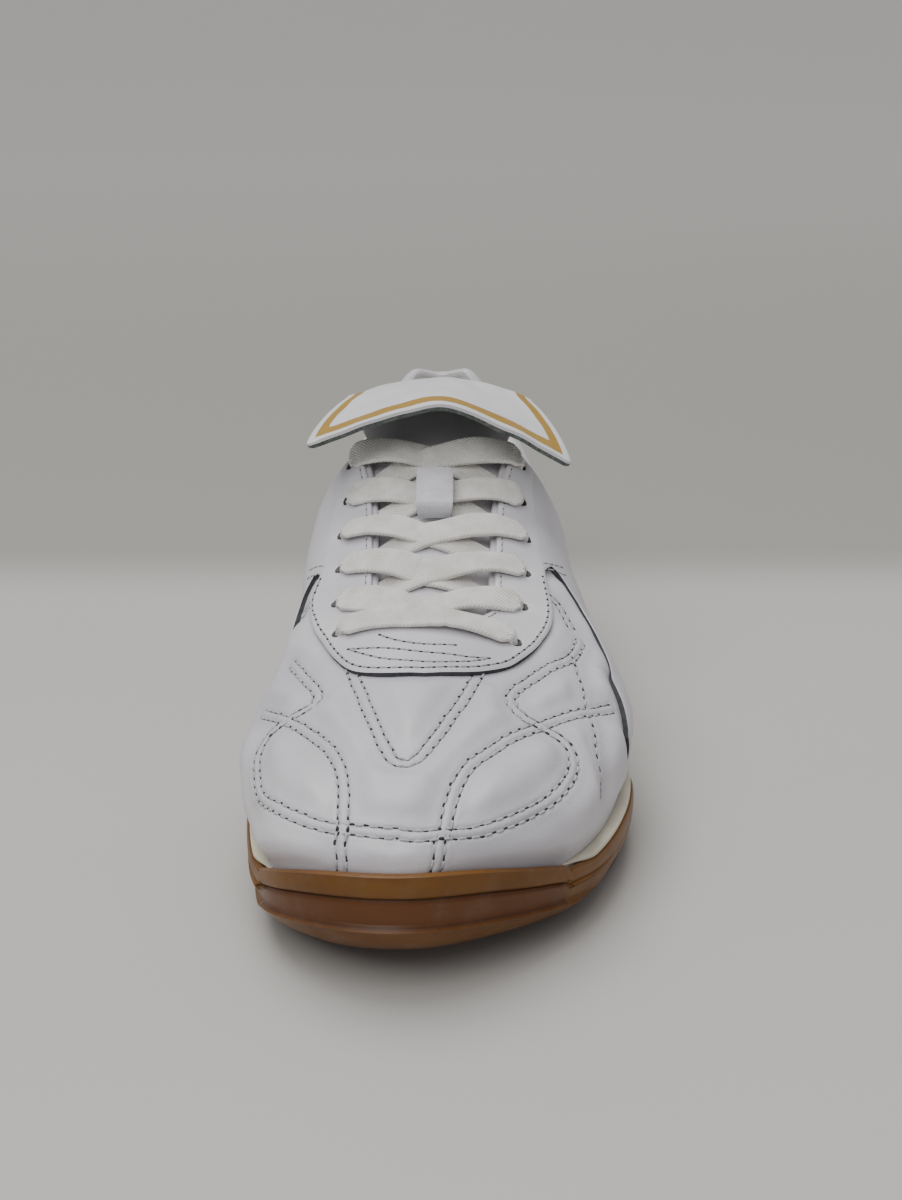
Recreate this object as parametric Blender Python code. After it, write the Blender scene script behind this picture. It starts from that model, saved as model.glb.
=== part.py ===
"""Indoor soccer shoe for the left foot: gum outsole with a toe bumper, foam midsole, stitched leather upper,
fold-over tongue and flat laces.

Metres, +Z up. The toe points to -Y, the lateral side to +X, and the sole stands on z = 0.
Every piece is worked out from one plan of the sole and one table of sections of the upper.
"""

import math

import bmesh
import bpy
import numpy as np

# Driving sizes
SOLE_LENGTH = 0.292
BALL_WIDTH = 0.109
INSTEP_HEIGHT = 0.090

# Sole
OUTSOLE_THICKNESS = 0.0055
TOE_LIP_HEIGHT = 0.0348
TOE_LIP_WALL = 0.0032
EDGE_LIP_HEIGHT = 0.0008
ARCH_RISE = 0.0015
TOE_SPRING = 0.0108
TREAD_TUCK = 0.0080
HEEL_BEVEL = 0.0020
MIDSOLE_HEEL = 0.0290
MIDSOLE_BALL = 0.0190
MIDSOLE_LEDGE = 0.0014
FLEX_GROOVE_WIDTH = 0.0030
FLEX_GROOVE_DEPTH = 0.0016
GAP = 0.0003

# Upper
UPPER_WALL = 0.0020
COLLAR_PAD = 0.0075
OVERLAY_WALL = 0.0012
OVERLAY_GAP = 0.0005
FEATHER_INSET = 0.0042
CROWN_RADIUS = 0.040
EYELET_RADIUS = 0.0020

# Tongue, laces and insole
TONGUE_WALL = 0.0030
TONGUE_DEPTH = 0.0030
FLAP_WALL = 0.0022
LACE_WIDTH = 0.0078
LACE_WALL = 0.0013
INSOLE_WALL = 0.0040
KEEPER_WIDTH = 0.0104
KEEPER_WALL = 0.0010

MEDIAL, LATERAL = -1, 1


def columns(names, *rows):
    """A short table as a dictionary of arrays, one for each named column."""
    return dict(zip(names.split(), np.array(rows, float).T))


# The sole's plan from heel to toe: shares of the length, then of the ball width on each side of the heel's axis
PLAN = columns(
    "at medial lateral",
    (0.000, 0.000, 0.000),
    (0.020, -0.175, 0.175),
    (0.060, -0.275, 0.275),
    (0.120, -0.325, 0.325),
    (0.200, -0.335, 0.340),
    (0.300, -0.325, 0.340),
    (0.410, -0.328, 0.365),
    (0.520, -0.370, 0.430),
    (0.620, -0.435, 0.495),
    (0.690, -0.480, 0.517),
    (0.750, -0.491, 0.505),
    (0.810, -0.478, 0.462),
    (0.870, -0.450, 0.388),
    (0.925, -0.400, 0.272),
    (0.970, -0.295, 0.125),
    (1.000, -0.085, -0.085),
)

# Heights along the sole: lip, midsole and spring are shares of their own named heights. tuck is how far the tread
# is set in from the plan, as a share of its named size.
SOLE_SIDE = columns(
    "at lip midsole spring tuck",
    (0.00, 0.00, 1.00, 0.00, 0.42),
    (0.12, 0.00, 0.97, 0.00, 0.42),
    (0.30, 0.00, 0.70, 0.00, 0.42),
    (0.50, 0.00, 0.25, 0.00, 0.42),
    (0.58, 0.06, 0.11, 0.00, 0.42),
    (0.65, 0.31, 0.02, 0.00, 0.41),
    (0.70, 0.54, 0.01, 0.00, 0.40),
    (0.76, 0.57, 0.00, 0.03, 0.48),
    (0.83, 0.53, 0.03, 0.16, 0.74),
    (0.88, 0.50, 0.10, 0.33, 0.86),
    (0.93, 0.71, 0.22, 0.58, 1.00),
    (0.97, 0.91, 0.32, 0.81, 1.10),
    (1.00, 1.00, 0.40, 1.00, 1.20),
)

# Sections of the upper from heel to toe. The bulge is set in from the sole's plan by bulge_in of the ball width.
# Widths are shares of the ball width and heights of the instep height. turn is how far the wall has leant
# over at its edge, in degrees. The leans pull the shoulder and the edge inwards along the length.
SECTIONS = columns(
    "at centre bulge_in bulge_z shoulder_medial shoulder_lateral shoulder_z edge edge_z turn shoulder_lean edge_lean",
    (0.00, 0.000, 0.010, 0.48, 0.000, 0.000, 0.73, 0.000, 0.965, 6, 0.030, 0.065),
    (0.03, 0.000, 0.010, 0.48, -0.165, 0.165, 0.72, 0.130, 0.945, 7, 0.028, 0.060),
    (0.08, 0.000, 0.010, 0.48, -0.245, 0.245, 0.69, 0.205, 0.880, 9, 0.020, 0.045),
    (0.15, 0.000, 0.008, 0.48, -0.290, 0.292, 0.63, 0.262, 0.775, 10, 0.008, 0.018),
    (0.24, 0.000, -0.004, 0.47, -0.335, 0.345, 0.58, 0.312, 0.690, 11, 0.000, 0.000),
    (0.32, -0.004, -0.012, 0.46, -0.350, 0.355, 0.62, 0.300, 0.740, 20, 0.000, 0.000),
    (0.39, -0.008, -0.014, 0.46, -0.358, 0.345, 0.72, 0.222, 0.970, 48, 0.000, 0.000),
    (0.46, -0.011, -0.008, 0.45, -0.362, 0.330, 0.70, 0.178, 0.875, 62, 0.000, 0.000),
    (0.54, -0.012, 0.000, 0.42, -0.358, 0.335, 0.645, 0.165, 0.785, 66, 0.000, 0.000),
    (0.62, -0.014, 0.008, 0.38, -0.358, 0.355, 0.595, 0.158, 0.700, 67, 0.000, 0.000),
    (0.70, -0.020, 0.014, 0.36, -0.350, 0.362, 0.545, 0.155, 0.622, 67, 0.000, 0.000),
    (0.78, -0.035, 0.020, 0.36, -0.345, 0.335, 0.515, 0.150, 0.582, 67, 0.000, 0.000),
    (0.86, -0.058, 0.028, 0.365, -0.315, 0.270, 0.490, 0.135, 0.552, 67, 0.000, 0.000),
    (0.92, -0.072, 0.033, 0.37, -0.285, 0.185, 0.470, 0.105, 0.523, 67, 0.000, 0.000),
    (0.97, -0.081, 0.034, 0.37, -0.225, 0.075, 0.450, 0.060, 0.482, 67, 0.008, 0.020),
    (1.00, -0.085, 0.034, 0.37, -0.085, -0.085, 0.42, 0.000, 0.450, 67, 0.018, 0.055),
)
THROAT_END = 0.672
THROAT_ROUND = 0.045

MATERIALS = {
    "white_leather": (0.83, 0.83, 0.82, 1),
    "gum_rubber": (0.55, 0.26, 0.07, 1),
    "midsole_foam": (0.80, 0.75, 0.62, 1),
    "lining_fabric": (0.70, 0.69, 0.66, 1),
    "lace_cotton": (0.84, 0.80, 0.72, 1),
}

# Flex grooves across the tread, as shares of the length
FLEX_GROOVES = (0.620, 0.675, 0.730)

# Where the midsole's ledge ends and the bumper begins, as a share of the length
LEDGE_END = 0.9045

# The outsole's wall below its rim: share of the way down, then the inset and the share of the tuck, first along
# the sides and then at the toe's bumper
SOLE_WALL = (
    (0.07, 0.0004, 0.00, 0.0010, 0.00),
    (0.22, 0.0000, 0.03, 0.0004, 0.00),
    (0.26, 0.0002, 0.05, 0.0015, 0.00),
    (0.31, 0.0000, 0.07, 0.0007, 0.00),
    (0.55, 0.0000, 0.28, 0.0007, 0.00),
    (0.61, 0.0002, 0.35, -0.0002, 0.01),
    (0.78, 0.0003, 0.59, 0.0004, 0.07),
    (1.00, 0.0000, 1.00, 0.0000, 1.00),
)

# Eyelets from the vamp up, on each facing: place along the sole and distance across from the centre line
EYELETS = columns(
    "medial_at medial lateral_at lateral",
    (0.662, -0.0272, 0.688, 0.0242),
    (0.611, -0.0287, 0.621, 0.0264),
    (0.556, -0.0287, 0.563, 0.0280),
    (0.499, -0.0293, 0.503, 0.0292),
    (0.446, -0.0285, 0.447, 0.0282),
    (0.402, -0.0282, 0.403, 0.0282),
)

# Outline of the eyestay from the top of a facing to the middle of its lower edge. turn is where the inner edge
# is on the throat's round end, in degrees, and 90 along the straight part, where inner_at gives its place.
EYESTAY = columns(
    "inner_at turn at medial lateral",
    (0.392, 90, 0.388, -0.0335, 0.0330),
    (0.440, 90, 0.440, -0.0340, 0.0335),
    (0.500, 90, 0.500, -0.0347, 0.0345),
    (0.545, 90, 0.545, -0.0360, 0.0350),
    (0.590, 90, 0.590, -0.0383, 0.0358),
    (0.620, 90, 0.630, -0.0358, 0.0354),
    (0.627, 70, 0.668, -0.0318, 0.0325),
    (0.627, 52, 0.704, -0.0268, 0.0278),
    (0.627, 34, 0.736, -0.0205, 0.0215),
    (0.627, 17, 0.756, -0.0112, 0.0122),
    (0.627, 0, 0.7625, 0.0, 0.0),
)

# Front edge of the quarters, up from the sole: share of the way up the wall, then the place on each side
QUARTER_FRONT = columns(
    "v medial lateral",
    (0.030, 0.715, 0.722),
    (0.190, 0.696, 0.738),
    (0.310, 0.655, 0.676),
    (0.430, 0.602, 0.583),
    (0.500, 0.574, 0.547),
    (0.575, 0.550, 0.530),
    (0.620, 0.545, 0.523),
    (0.670, 0.537, 0.522),
    (0.725, 0.546, 0.545),
)

# Middle of the tongue from the throat over the fold to the free edge of the flap: y, z, half width, how much
# each side droops over a square metre of width, and the wall
TONGUE = columns(
    "y z half medial lateral pull wall",
    (0.0320, 0.0896, 0.0215, 12.5, 12.5, 0, 0.0030),
    (0.0400, 0.0934, 0.0225, 11.6, 11.8, 0, 0.0030),
    (0.0480, 0.0966, 0.0250, 10.0, 10.6, 0, 0.0029),
    (0.0550, 0.0989, 0.0278, 8.2, 9.0, 0, 0.0027),
    (0.0596, 0.1004, 0.0293, 7.2, 8.4, 0, 0.0024),
    (0.0620, 0.1019, 0.0299, 7.0, 8.3, 0, 0.0022),
    (0.0620, 0.1038, 0.0302, 6.9, 8.3, 0, 0.0022),
    (0.0596, 0.1051, 0.0306, 6.8, 8.4, 0, 0.0022),
    (0.0550, 0.1057, 0.0315, 6.8, 8.6, 0, 0.0022),
    (0.0480, 0.1063, 0.0345, 6.8, 8.8, 0.2, 0.0022),
    (0.0380, 0.1069, 0.0377, 6.8, 9.3, 0.5, 0.0022),
    (0.0270, 0.1073, 0.0401, 6.9, 9.8, 0.8, 0.0022),
    (0.0170, 0.1073, 0.0412, 7.0, 10.2, 1, 0.0022),
    (0.0148, 0.1072, 0.0404, 7.0, 10.2, 1, 0.0022),
)

# Keeper over the fourth crossing: place along the sole and height of its middle above the leather
KEEPER = columns(
    "at height",
    (0.5050, -0.0018),
    (0.5048, 0.0010),
    (0.5030, 0.0028),
    (0.4970, 0.0035),
    (0.4740, 0.0038),
    (0.4530, 0.0035),
    (0.4480, 0.0028),
    (0.4462, 0.0010),
    (0.4460, -0.0018),
)


def angle_of(at):
    """The angle whose cosine runs along the length: even steps of it round both ends."""
    return np.arccos(1 - 2 * np.clip(at, 0, 1))


def place_of(angle):
    return (1 - np.cos(angle)) / 2


def hermite(start, start_slope, end, end_slope, t):
    """The cubic that leaves start and reaches end with these slopes."""
    return (
        (1 + 2 * t) * (1 - t) ** 2 * start
        + t * (1 - t) ** 2 * start_slope
        + t**2 * (3 - 2 * t) * end
        - t**2 * (1 - t) * end_slope
    )


def read(table, column, at):
    """A smooth curve through one column of a table, at shares of the length."""
    knots = angle_of(table["at"])
    values = table[column]
    slopes = np.gradient(values, knots)
    angle = angle_of(at)
    k = np.clip(np.searchsorted(knots, angle, side="right") - 1, 0, len(knots) - 2)
    step = knots[k + 1] - knots[k]
    return hermite(values[k], slopes[k] * step, values[k + 1], slopes[k + 1] * step, (angle - knots[k]) / step)


def along(at):
    """y of a share of the sole's length, from the heel's back."""
    return SOLE_LENGTH * (0.5 - at)


def plan_point(side, at, inset):
    """x and y of the sole's plan on one side, set in along its own normal."""

    def outline(angle):
        x = read(PLAN, "medial" if side == MEDIAL else "lateral", place_of(angle)) * BALL_WIDTH
        return np.stack([x, along(place_of(angle))], -1)

    angle = angle_of(at)
    step = 1e-3
    ahead = outline(np.clip(angle + step, 0, math.pi))
    behind = outline(np.clip(angle - step, 0, math.pi))
    run = ahead - behind
    normal = side * np.stack([-run[..., 1], run[..., 0]], -1)
    normal /= np.linalg.norm(normal, axis=-1, keepdims=True)
    at_end = (at <= 0) | (at >= 1)
    normal = np.where(at_end[..., None], np.stack([0 * at, np.where(at <= 0, 1.0, -1.0)], -1), normal)
    return outline(angle) - np.asarray(inset)[..., None] * normal


def midsole_top(at):
    return MIDSOLE_BALL + (MIDSOLE_HEEL - MIDSOLE_BALL) * read(SOLE_SIDE, "midsole", at)


def ease(value, start, end):
    """0 before start and 1 after end, with a soft climb between them."""
    t = np.clip((value - start) / (end - start), 0, 1)
    return t * t * (3 - 2 * t)


def openness(at):
    """1 along the throat and the collar, 0 where the vamp is closed, on a round end between them."""
    t = np.clip((THROAT_END - at) / THROAT_ROUND, 0, 1)
    return np.sqrt(1 - (1 - t) ** 2)


def half_gap(at):
    return read(SECTIONS, "edge", at) * BALL_WIDTH * openness(at)


def wall_knots(side, at):
    """Feather, bulge, shoulder and edge of one wall, and the direction in which the wall passes each."""
    feather = plan_point(side, at, FEATHER_INSET + 0 * at)
    bulge = plan_point(side, at, read(SECTIONS, "bulge_in", at) * BALL_WIDTH)
    across_from = plan_point(-side, at, read(SECTIONS, "bulge_in", at) * BALL_WIDTH)
    shoulder = "shoulder_medial" if side == MEDIAL else "shoulder_lateral"
    inward = np.where(at < 0.5, -1, 1) * INSTEP_HEIGHT
    edge = read(SECTIONS, "edge", at) * BALL_WIDTH
    gap = half_gap(at)
    rise = (edge**2 - gap**2) / (2 * CROWN_RADIUS)
    knots = np.stack(
        [
            np.stack([feather[..., 0], feather[..., 1], midsole_top(at) + GAP], -1),
            np.stack([bulge[..., 0], bulge[..., 1], read(SECTIONS, "bulge_z", at) * INSTEP_HEIGHT], -1),
            np.stack(
                [
                    read(SECTIONS, shoulder, at) * BALL_WIDTH,
                    bulge[..., 1] + inward * read(SECTIONS, "shoulder_lean", at),
                    read(SECTIONS, "shoulder_z", at) * INSTEP_HEIGHT,
                ],
                -1,
            ),
            np.stack(
                [
                    read(SECTIONS, "centre", at) * BALL_WIDTH + side * gap,
                    (bulge[..., 1] + across_from[..., 1]) / 2 + inward * read(SECTIONS, "edge_lean", at),
                    read(SECTIONS, "edge_z", at) * INSTEP_HEIGHT + rise,
                ],
                -1,
            ),
        ],
        -2,
    )
    open_turn = read(SECTIONS, "turn", at)
    closed = 1 - gap / np.maximum(edge, 1e-6)
    turn = np.radians(np.where(edge > 1e-5, open_turn + (90 - open_turn) * closed, open_turn))
    at_tip = np.maximum(ease(at, 0.975, 1.0), 1 - ease(at, 0.0, 0.03))[..., None]
    lean = np.stack([-side * np.sin(turn), 0 * at, np.cos(turn)], -1)
    last = knots[..., 3, :] - knots[..., 2, :]
    last /= np.linalg.norm(last, axis=-1, keepdims=True)
    edge_way = lean * (1 - at_tip) + last * at_tip
    through = knots[..., 3, :] - knots[..., 1, :]
    through /= np.linalg.norm(through, axis=-1, keepdims=True)
    leave = knots[..., 1, :] - knots[..., 0, :]
    leave /= np.linalg.norm(leave, axis=-1, keepdims=True)
    up = np.zeros_like(leave)
    up[..., 2] = 1
    ways = np.stack([leave, up, through, edge_way], -2)
    return knots, ways


def wall_samples(side, at, count=33):
    """Points along one wall from feather to edge, and how far along it each lies."""
    knots, ways = wall_knots(side, at)
    chord = np.linalg.norm(np.diff(knots, axis=-2), axis=-1)[..., None]
    t = np.linspace(0, 1, (count - 1) // 3 + 1)[:, None]
    runs = []
    for k in range(3):
        start, end = knots[..., k, None, :], knots[..., k + 1, None, :]
        reach = chord[..., k, None, :]
        run = hermite(start, ways[..., k, None, :] * reach, end, ways[..., k + 1, None, :] * reach, t)
        runs.append(run if k == 0 else run[..., 1:, :])
    points = np.concatenate(runs, -2)
    steps = np.linalg.norm(np.diff(points, axis=-2), axis=-1)
    length = np.concatenate([0 * steps[..., :1], np.cumsum(steps, -1)], -1)
    return points, length


def wall_point(side, at, v):
    """The upper's outer face on one side, at a share v of the way from the feather to the edge."""
    at, v = np.broadcast_arrays(np.asarray(at, float), np.asarray(v, float))
    points, length = wall_samples(side, at)
    reach = v * length[..., -1]
    k = np.clip((length <= reach[..., None]).sum(-1) - 1, 0, length.shape[-1] - 2)
    low = np.take_along_axis(length, k[..., None], -1)[..., 0]
    high = np.take_along_axis(length, k[..., None] + 1, -1)[..., 0]
    t = ((reach - low) / (high - low))[..., None]
    near = np.take_along_axis(points, k[..., None, None], -2)[..., 0, :]
    far = np.take_along_axis(points, k[..., None, None] + 1, -2)[..., 0, :]
    return near * (1 - t) + far * t


def wall_length(side, at):
    return wall_samples(side, np.asarray(at, float))[1][..., -1]


def wall_normal(side, at, v):
    """The direction out of the upper, straight up or straight along where the two sides meet."""
    at, v = np.broadcast_arrays(np.asarray(at, float), np.asarray(v, float))
    angle = angle_of(at)
    step = 4e-3
    ahead = place_of(np.clip(angle + step, 0, math.pi))
    behind = place_of(np.clip(angle - step, 0, math.pi))
    run = wall_point(side, ahead, v) - wall_point(side, behind, v)
    climb = wall_point(side, at, np.clip(v + step, 0, 1)) - wall_point(side, at, np.clip(v - step, 0, 1))
    normal = side * np.cross(climb, run)
    crown = np.stack([0 * at, run[..., 2], -run[..., 1]], -1)
    normal = np.where(((v >= 1) & (at >= THROAT_END - 1e-9))[..., None], crown, normal)
    tip = np.stack([0 * at, climb[..., 2], -climb[..., 1]], -1)
    normal = np.where((at <= 0)[..., None], tip, normal)
    normal = np.where((at >= 1)[..., None], -tip, normal)
    return normal / np.linalg.norm(normal, axis=-1, keepdims=True)


def instep_surface(at, across):
    """The shoe's top at a distance across from the centre line: a round bridge over the throat, then leather."""
    at, across = np.broadcast_arrays(np.asarray(at, float), np.asarray(across, float))
    gap = half_gap(at)
    found = np.empty(at.shape + (3,))
    for side in (MEDIAL, LATERAL):
        beyond = np.maximum(np.abs(across) - gap, 0)
        v = np.clip(1 - beyond / wall_length(side, at), 0, 1)
        edge = wall_point(side, at, 1 + 0 * at)
        height = edge[..., 2] + (gap**2 - across**2) / (2 * CROWN_RADIUS)
        bridge = np.stack([read(SECTIONS, "centre", at) * BALL_WIDTH + across, edge[..., 1], height], -1)
        point = np.where((np.abs(across) < gap)[..., None], bridge, wall_point(side, at, v))
        found = np.where((across * side >= 0)[..., None], point, found)
    return found


def instep(at, across, height):
    """A point at a height above the shoe's top, along the surface's own normal."""
    at, across, height = np.broadcast_arrays(*(np.asarray(a, float) for a in (at, across, height)))
    run = instep_surface(at + 0.004, across) - instep_surface(at - 0.004, across)
    over = instep_surface(at, across + 0.001) - instep_surface(at, across - 0.001)
    normal = np.cross(run, over)
    normal /= np.linalg.norm(normal, axis=-1, keepdims=True)
    return instep_surface(at, across) + normal * height[..., None]


def grid_object(name, grids, material):
    """One closed mesh from grids of points that share their border points."""
    mesh = bmesh.new()
    for grid in grids:
        points = [[mesh.verts.new(tuple(point)) for point in row] for row in grid]
        for i in range(len(points) - 1):
            for j in range(len(points[0]) - 1):
                mesh.faces.new((points[i][j], points[i][j + 1], points[i + 1][j + 1], points[i + 1][j]))
    bmesh.ops.remove_doubles(mesh, verts=mesh.verts, dist=2e-6)
    bmesh.ops.dissolve_degenerate(mesh, edges=mesh.edges, dist=1e-6)
    bmesh.ops.recalc_face_normals(mesh, faces=mesh.faces)
    data = bpy.data.meshes.new(name)
    mesh.to_mesh(data)
    mesh.free()
    data.materials.append(bpy.data.materials[material])
    found = bpy.data.objects.new(name, data)
    bpy.context.scene.collection.objects.link(found)
    return found


def shell(outer, inner):
    """The grids of a slab: its two faces and the four strips that close its border."""
    return [
        outer,
        inner,
        np.stack([outer[0], inner[0]]),
        np.stack([outer[-1], inner[-1]]),
        np.stack([outer[:, 0], inner[:, 0]]),
        np.stack([outer[:, -1], inner[:, -1]]),
    ]


def ring_object(name, at, rows, material):
    """A body between the two sides of the plan, each row an inset and a height at every station."""
    sides = []
    for side in (MEDIAL, LATERAL):
        sides.append([np.column_stack([plan_point(side, at, inset), height]) for inset, height in rows])
    loop = sides[0] + sides[1][::-1] + sides[0][:1]
    return grid_object(name, [np.stack(loop)], material)


def combine(target, other, how):
    """Join or cut target with other, which is then removed."""
    step = target.modifiers.new(how, "BOOLEAN")
    step.operation = how
    step.solver = "EXACT"
    step.object = other
    graph = bpy.context.evaluated_depsgraph_get()
    data = bpy.data.meshes.new_from_object(target.evaluated_get(graph))
    target.modifiers.remove(step)
    target.data = data
    bpy.data.objects.remove(other)


def sole_bottom(at):
    """The height of the tread: flat under the heel and the ball, raised in the arch and sprung at the toe."""
    arch = ease(at, 0.31, 0.41) * (1 - ease(at, 0.50, 0.60))
    heel = 1 - ease(at, 0.0, 0.06)
    return read(SOLE_SIDE, "spring", at) * TOE_SPRING * (at > 0.70) + ARCH_RISE * arch + HEEL_BEVEL * heel


def floor_top(at):
    return sole_bottom(at) + OUTSOLE_THICKNESS


def lip_top(at):
    """The rim of the outsole: it climbs along the sides to the midsole's ledge, and over the toe as a bumper."""
    climb = TOE_LIP_HEIGHT - TOE_SPRING - OUTSOLE_THICKNESS - EDGE_LIP_HEIGHT
    rim = floor_top(at) + EDGE_LIP_HEIGHT + np.maximum(read(SOLE_SIDE, "lip", at), 0) * climb
    under_ledge = midsole_top(at) - GAP - MIDSOLE_LEDGE * ledge_share(at)
    return np.where(at < LEDGE_END + 1e-4, np.minimum(rim, under_ledge), rim)


def ledge_share(at):
    """1 where the midsole reaches out over the outsole's rim, down to 0 where the bumper begins."""
    return 1 - ease(at, LEDGE_END - 0.04, LEDGE_END)


def groove_distance(at):
    return np.abs(at[:, None] - np.array(FLEX_GROOVES)).min(1) * SOLE_LENGTH


def sole_stations():
    """Even steps round both ends, with pairs added at the edges of each flex groove."""
    even = place_of(np.linspace(0, math.pi, 31))
    half = FLEX_GROOVE_WIDTH / 2
    cuts = np.array(FLEX_GROOVES)[:, None] + np.array([-1.3, -1, 1, 1.3]) * half / SOLE_LENGTH
    at = np.sort(np.concatenate([even[groove_distance(even) > half * 1.6], cuts.ravel()]))
    at[[0, -1]] = 0, 1
    return at


def toe_share(at):
    """0 along the sides and 1 where the outsole's wall has become the toe's bumper."""
    return ease(at, 0.80, 0.93)


def wall_inset(at, down):
    """How far the outsole's wall is set in from the plan, at a share of the way down from its rim."""
    wall = np.array(SOLE_WALL).T
    side, side_lean, toe, toe_lean = (np.interp(down, wall[0], column) for column in wall[1:])
    tuck = read(SOLE_SIDE, "tuck", at) * TREAD_TUCK
    return (side + side_lean * tuck) * (1 - toe_share(at)) + (toe + toe_lean * tuck) * toe_share(at)


def pocket_inset(at, height):
    """How far the outsole's inner face is set in from the plan: it leans with the wall outside it."""
    low, high = floor_top(at), lip_top(at)
    lean = wall_inset(at, (high - low) / (high - sole_bottom(at)))
    return TOE_LIP_WALL + lean * np.clip((high - height) / (high - low), 0, 1)


def build_outsole():
    at = sole_stations()
    in_groove = (groove_distance(at) < FLEX_GROOVE_WIDTH / 2 * 1.1) * FLEX_GROOVE_DEPTH
    bottom, top = sole_bottom(at), lip_top(at)
    rows = [
        (pocket_inset(at, floor_top(at)), floor_top(at)),
        (pocket_inset(at, top), top - 0.0003),
        (pocket_inset(at, top) - 0.0012, top),
    ]
    for wall in SOLE_WALL:
        down = wall[0] + 0 * at
        rows.append((wall_inset(at, down), top + (bottom - top) * down + in_groove * (down >= 1)))
    return ring_object("outsole", at, rows, "gum_rubber")


def build_midsole():
    at = sole_stations()
    top, rim = midsole_top(at), lip_top(at)
    shelf = np.minimum(rim + GAP, top)
    out = np.where(ledge_share(at) < 0.02, 0, ledge_share(at))
    low = floor_top(at) + GAP
    edge = (pocket_inset(at, shelf) + GAP) * (1 - out)
    rows = [
        (pocket_inset(at, low) + GAP, low),
        (pocket_inset(at, shelf) + GAP, shelf),
        (edge + 0.0004 * out, shelf),
        (edge - 0.0006 * out, shelf + (top - shelf) * 0.5),
        (edge + 0.0004 * out, top),
    ]
    return ring_object("midsole", at, rows, "midsole_foam")


def build_insole():
    at = place_of(np.linspace(0, math.pi, 27))
    low = midsole_top(at) + GAP * 1.5
    rows = [(0.0072 + 0 * at, low), (0.0070 + 0 * at, low + INSOLE_WALL * 0.6), (0.0085 + 0 * at, low + INSOLE_WALL)]
    return ring_object("insole", at, rows, "lining_fabric")


def wall_thickness(at, v):
    """Plain leather, with a soft pad along the collar."""
    return UPPER_WALL + (COLLAR_PAD - UPPER_WALL) * (1 - ease(at, 0.27, 0.35)) * ease(v, 0.55, 0.85)


def inner_point(side, at, v):
    inside = wall_point(side, at, v) - wall_normal(side, at, v) * wall_thickness(at, v)[..., None]
    foot = np.concatenate([plan_point(side, at, FEATHER_INSET + UPPER_WALL + 0 * at), (midsole_top(at) + GAP)[..., None]], -1)
    return np.where((v <= 0)[..., None], foot, inside)


def upper_stations():
    heel = place_of(np.linspace(0, angle_of(0.39), 12))
    throat = np.linspace(0.39, THROAT_END - THROAT_ROUND, 7)[1:]
    end = THROAT_END - THROAT_ROUND * (1 - np.cos(np.radians([62, 36, 15, 0])))
    vamp = place_of(np.linspace(angle_of(THROAT_END), math.pi, 12))[1:]
    at = np.concatenate([heel, throat, end, vamp])
    at[[0, -1]] = 0, 1
    return at


def build_upper():
    at = upper_stations()
    open_part = at <= THROAT_END + 1e-9
    outer_v = np.array([0, 0.09, 0.18, 0.28, 0.38, 0.48, 0.58, 0.67, 0.76, 0.85, 0.93, 1.0])
    inner_v = np.array([0, 0.20, 0.42, 0.64, 0.84, 1.0])
    grids = []
    for side in (MEDIAL, LATERAL):
        outer = wall_point(side, *np.meshgrid(at, outer_v, indexing="ij"))
        inner = inner_point(side, *np.meshgrid(at, inner_v, indexing="ij"))
        climb = wall_point(side, at, 1 + 0 * at) - wall_point(side, at, 0.98 + 0 * at)
        climb[[0, -1], 0] = 0
        climb /= np.linalg.norm(climb, axis=-1, keepdims=True)
        over, under = outer[:, -1], inner[:, -1]
        reach = np.linalg.norm(over - under, axis=-1)[:, None] / 2 * openness(at)[:, None]
        rim = [over]
        for turn in np.radians([45, 90, 135]):
            rim.append((over + under) / 2 + (over - under) / 2 * np.cos(turn) + climb * reach * 0.75 * np.sin(turn))
        rim.append(under)
        grids += [outer, inner, np.stack([outer[:, 0], inner[:, 0]]), np.stack(rim)[:, open_part]]
    return grid_object("upper", grids, "white_leather")


def blend(values, t):
    """A smooth curve through evenly spaced values, for t from 0 at the first to 1 at the last."""
    slopes = np.gradient(values)
    reach = np.clip(t, 0, 1) * (len(values) - 1)
    k = np.clip(reach.astype(int), 0, len(values) - 2)
    return hermite(values[k], slopes[k], values[k + 1], slopes[k + 1], reach - k)


def eyestay_outer(side, at):
    """How far across from the centre line a facing's outer edge lies."""
    column = EYESTAY["medial" if side == MEDIAL else "lateral"]
    return np.abs(np.interp(at, EYESTAY["at"], column))


def build_eyestay():
    t = np.linspace(0, 1, 21)
    halves = []
    for side, column in ((MEDIAL, "medial"), (LATERAL, "lateral")):
        turn = np.radians(np.minimum(blend(EYESTAY["turn"], t), 90))
        on_arm = t <= 0.5
        inner_at = np.where(on_arm, blend(EYESTAY["inner_at"], t), THROAT_END - THROAT_ROUND * (1 - np.cos(turn)))
        reach = np.where(on_arm, half_gap(inner_at), read(SECTIONS, "edge", inner_at) * BALL_WIDTH * np.sin(turn))
        inner_at = inner_at + 0.0022 * np.cos(turn)
        inner = side * (reach + 0.0006 * np.sin(turn))
        outer_at, outer = blend(EYESTAY["at"], t), blend(EYESTAY[column], t)
        share = np.linspace(0, 1, 5)
        at = inner_at[:, None] + (outer_at - inner_at)[:, None] * share
        across = inner[:, None] + (outer - inner)[:, None] * share
        halves.append((at, across))
    at = np.concatenate([halves[0][0], halves[1][0][-2::-1]])
    across = np.concatenate([halves[0][1], halves[1][1][-2::-1]])
    return grid_object("eyestay", shell(instep(at, across, OVERLAY_GAP + OVERLAY_WALL), instep(at, across, OVERLAY_GAP)), "white_leather")


def quarter_top(side, at):
    """The quarter's upper border as a share of the wall: below the collar, then beside the facing."""
    beside = 1 - (eyestay_outer(side, at) + 0.0009 - half_gap(at)) / wall_length(side, at)
    along_facing = ease(at, 0.345, 0.392)
    return 0.92 * (1 - along_facing) + beside * along_facing


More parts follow.
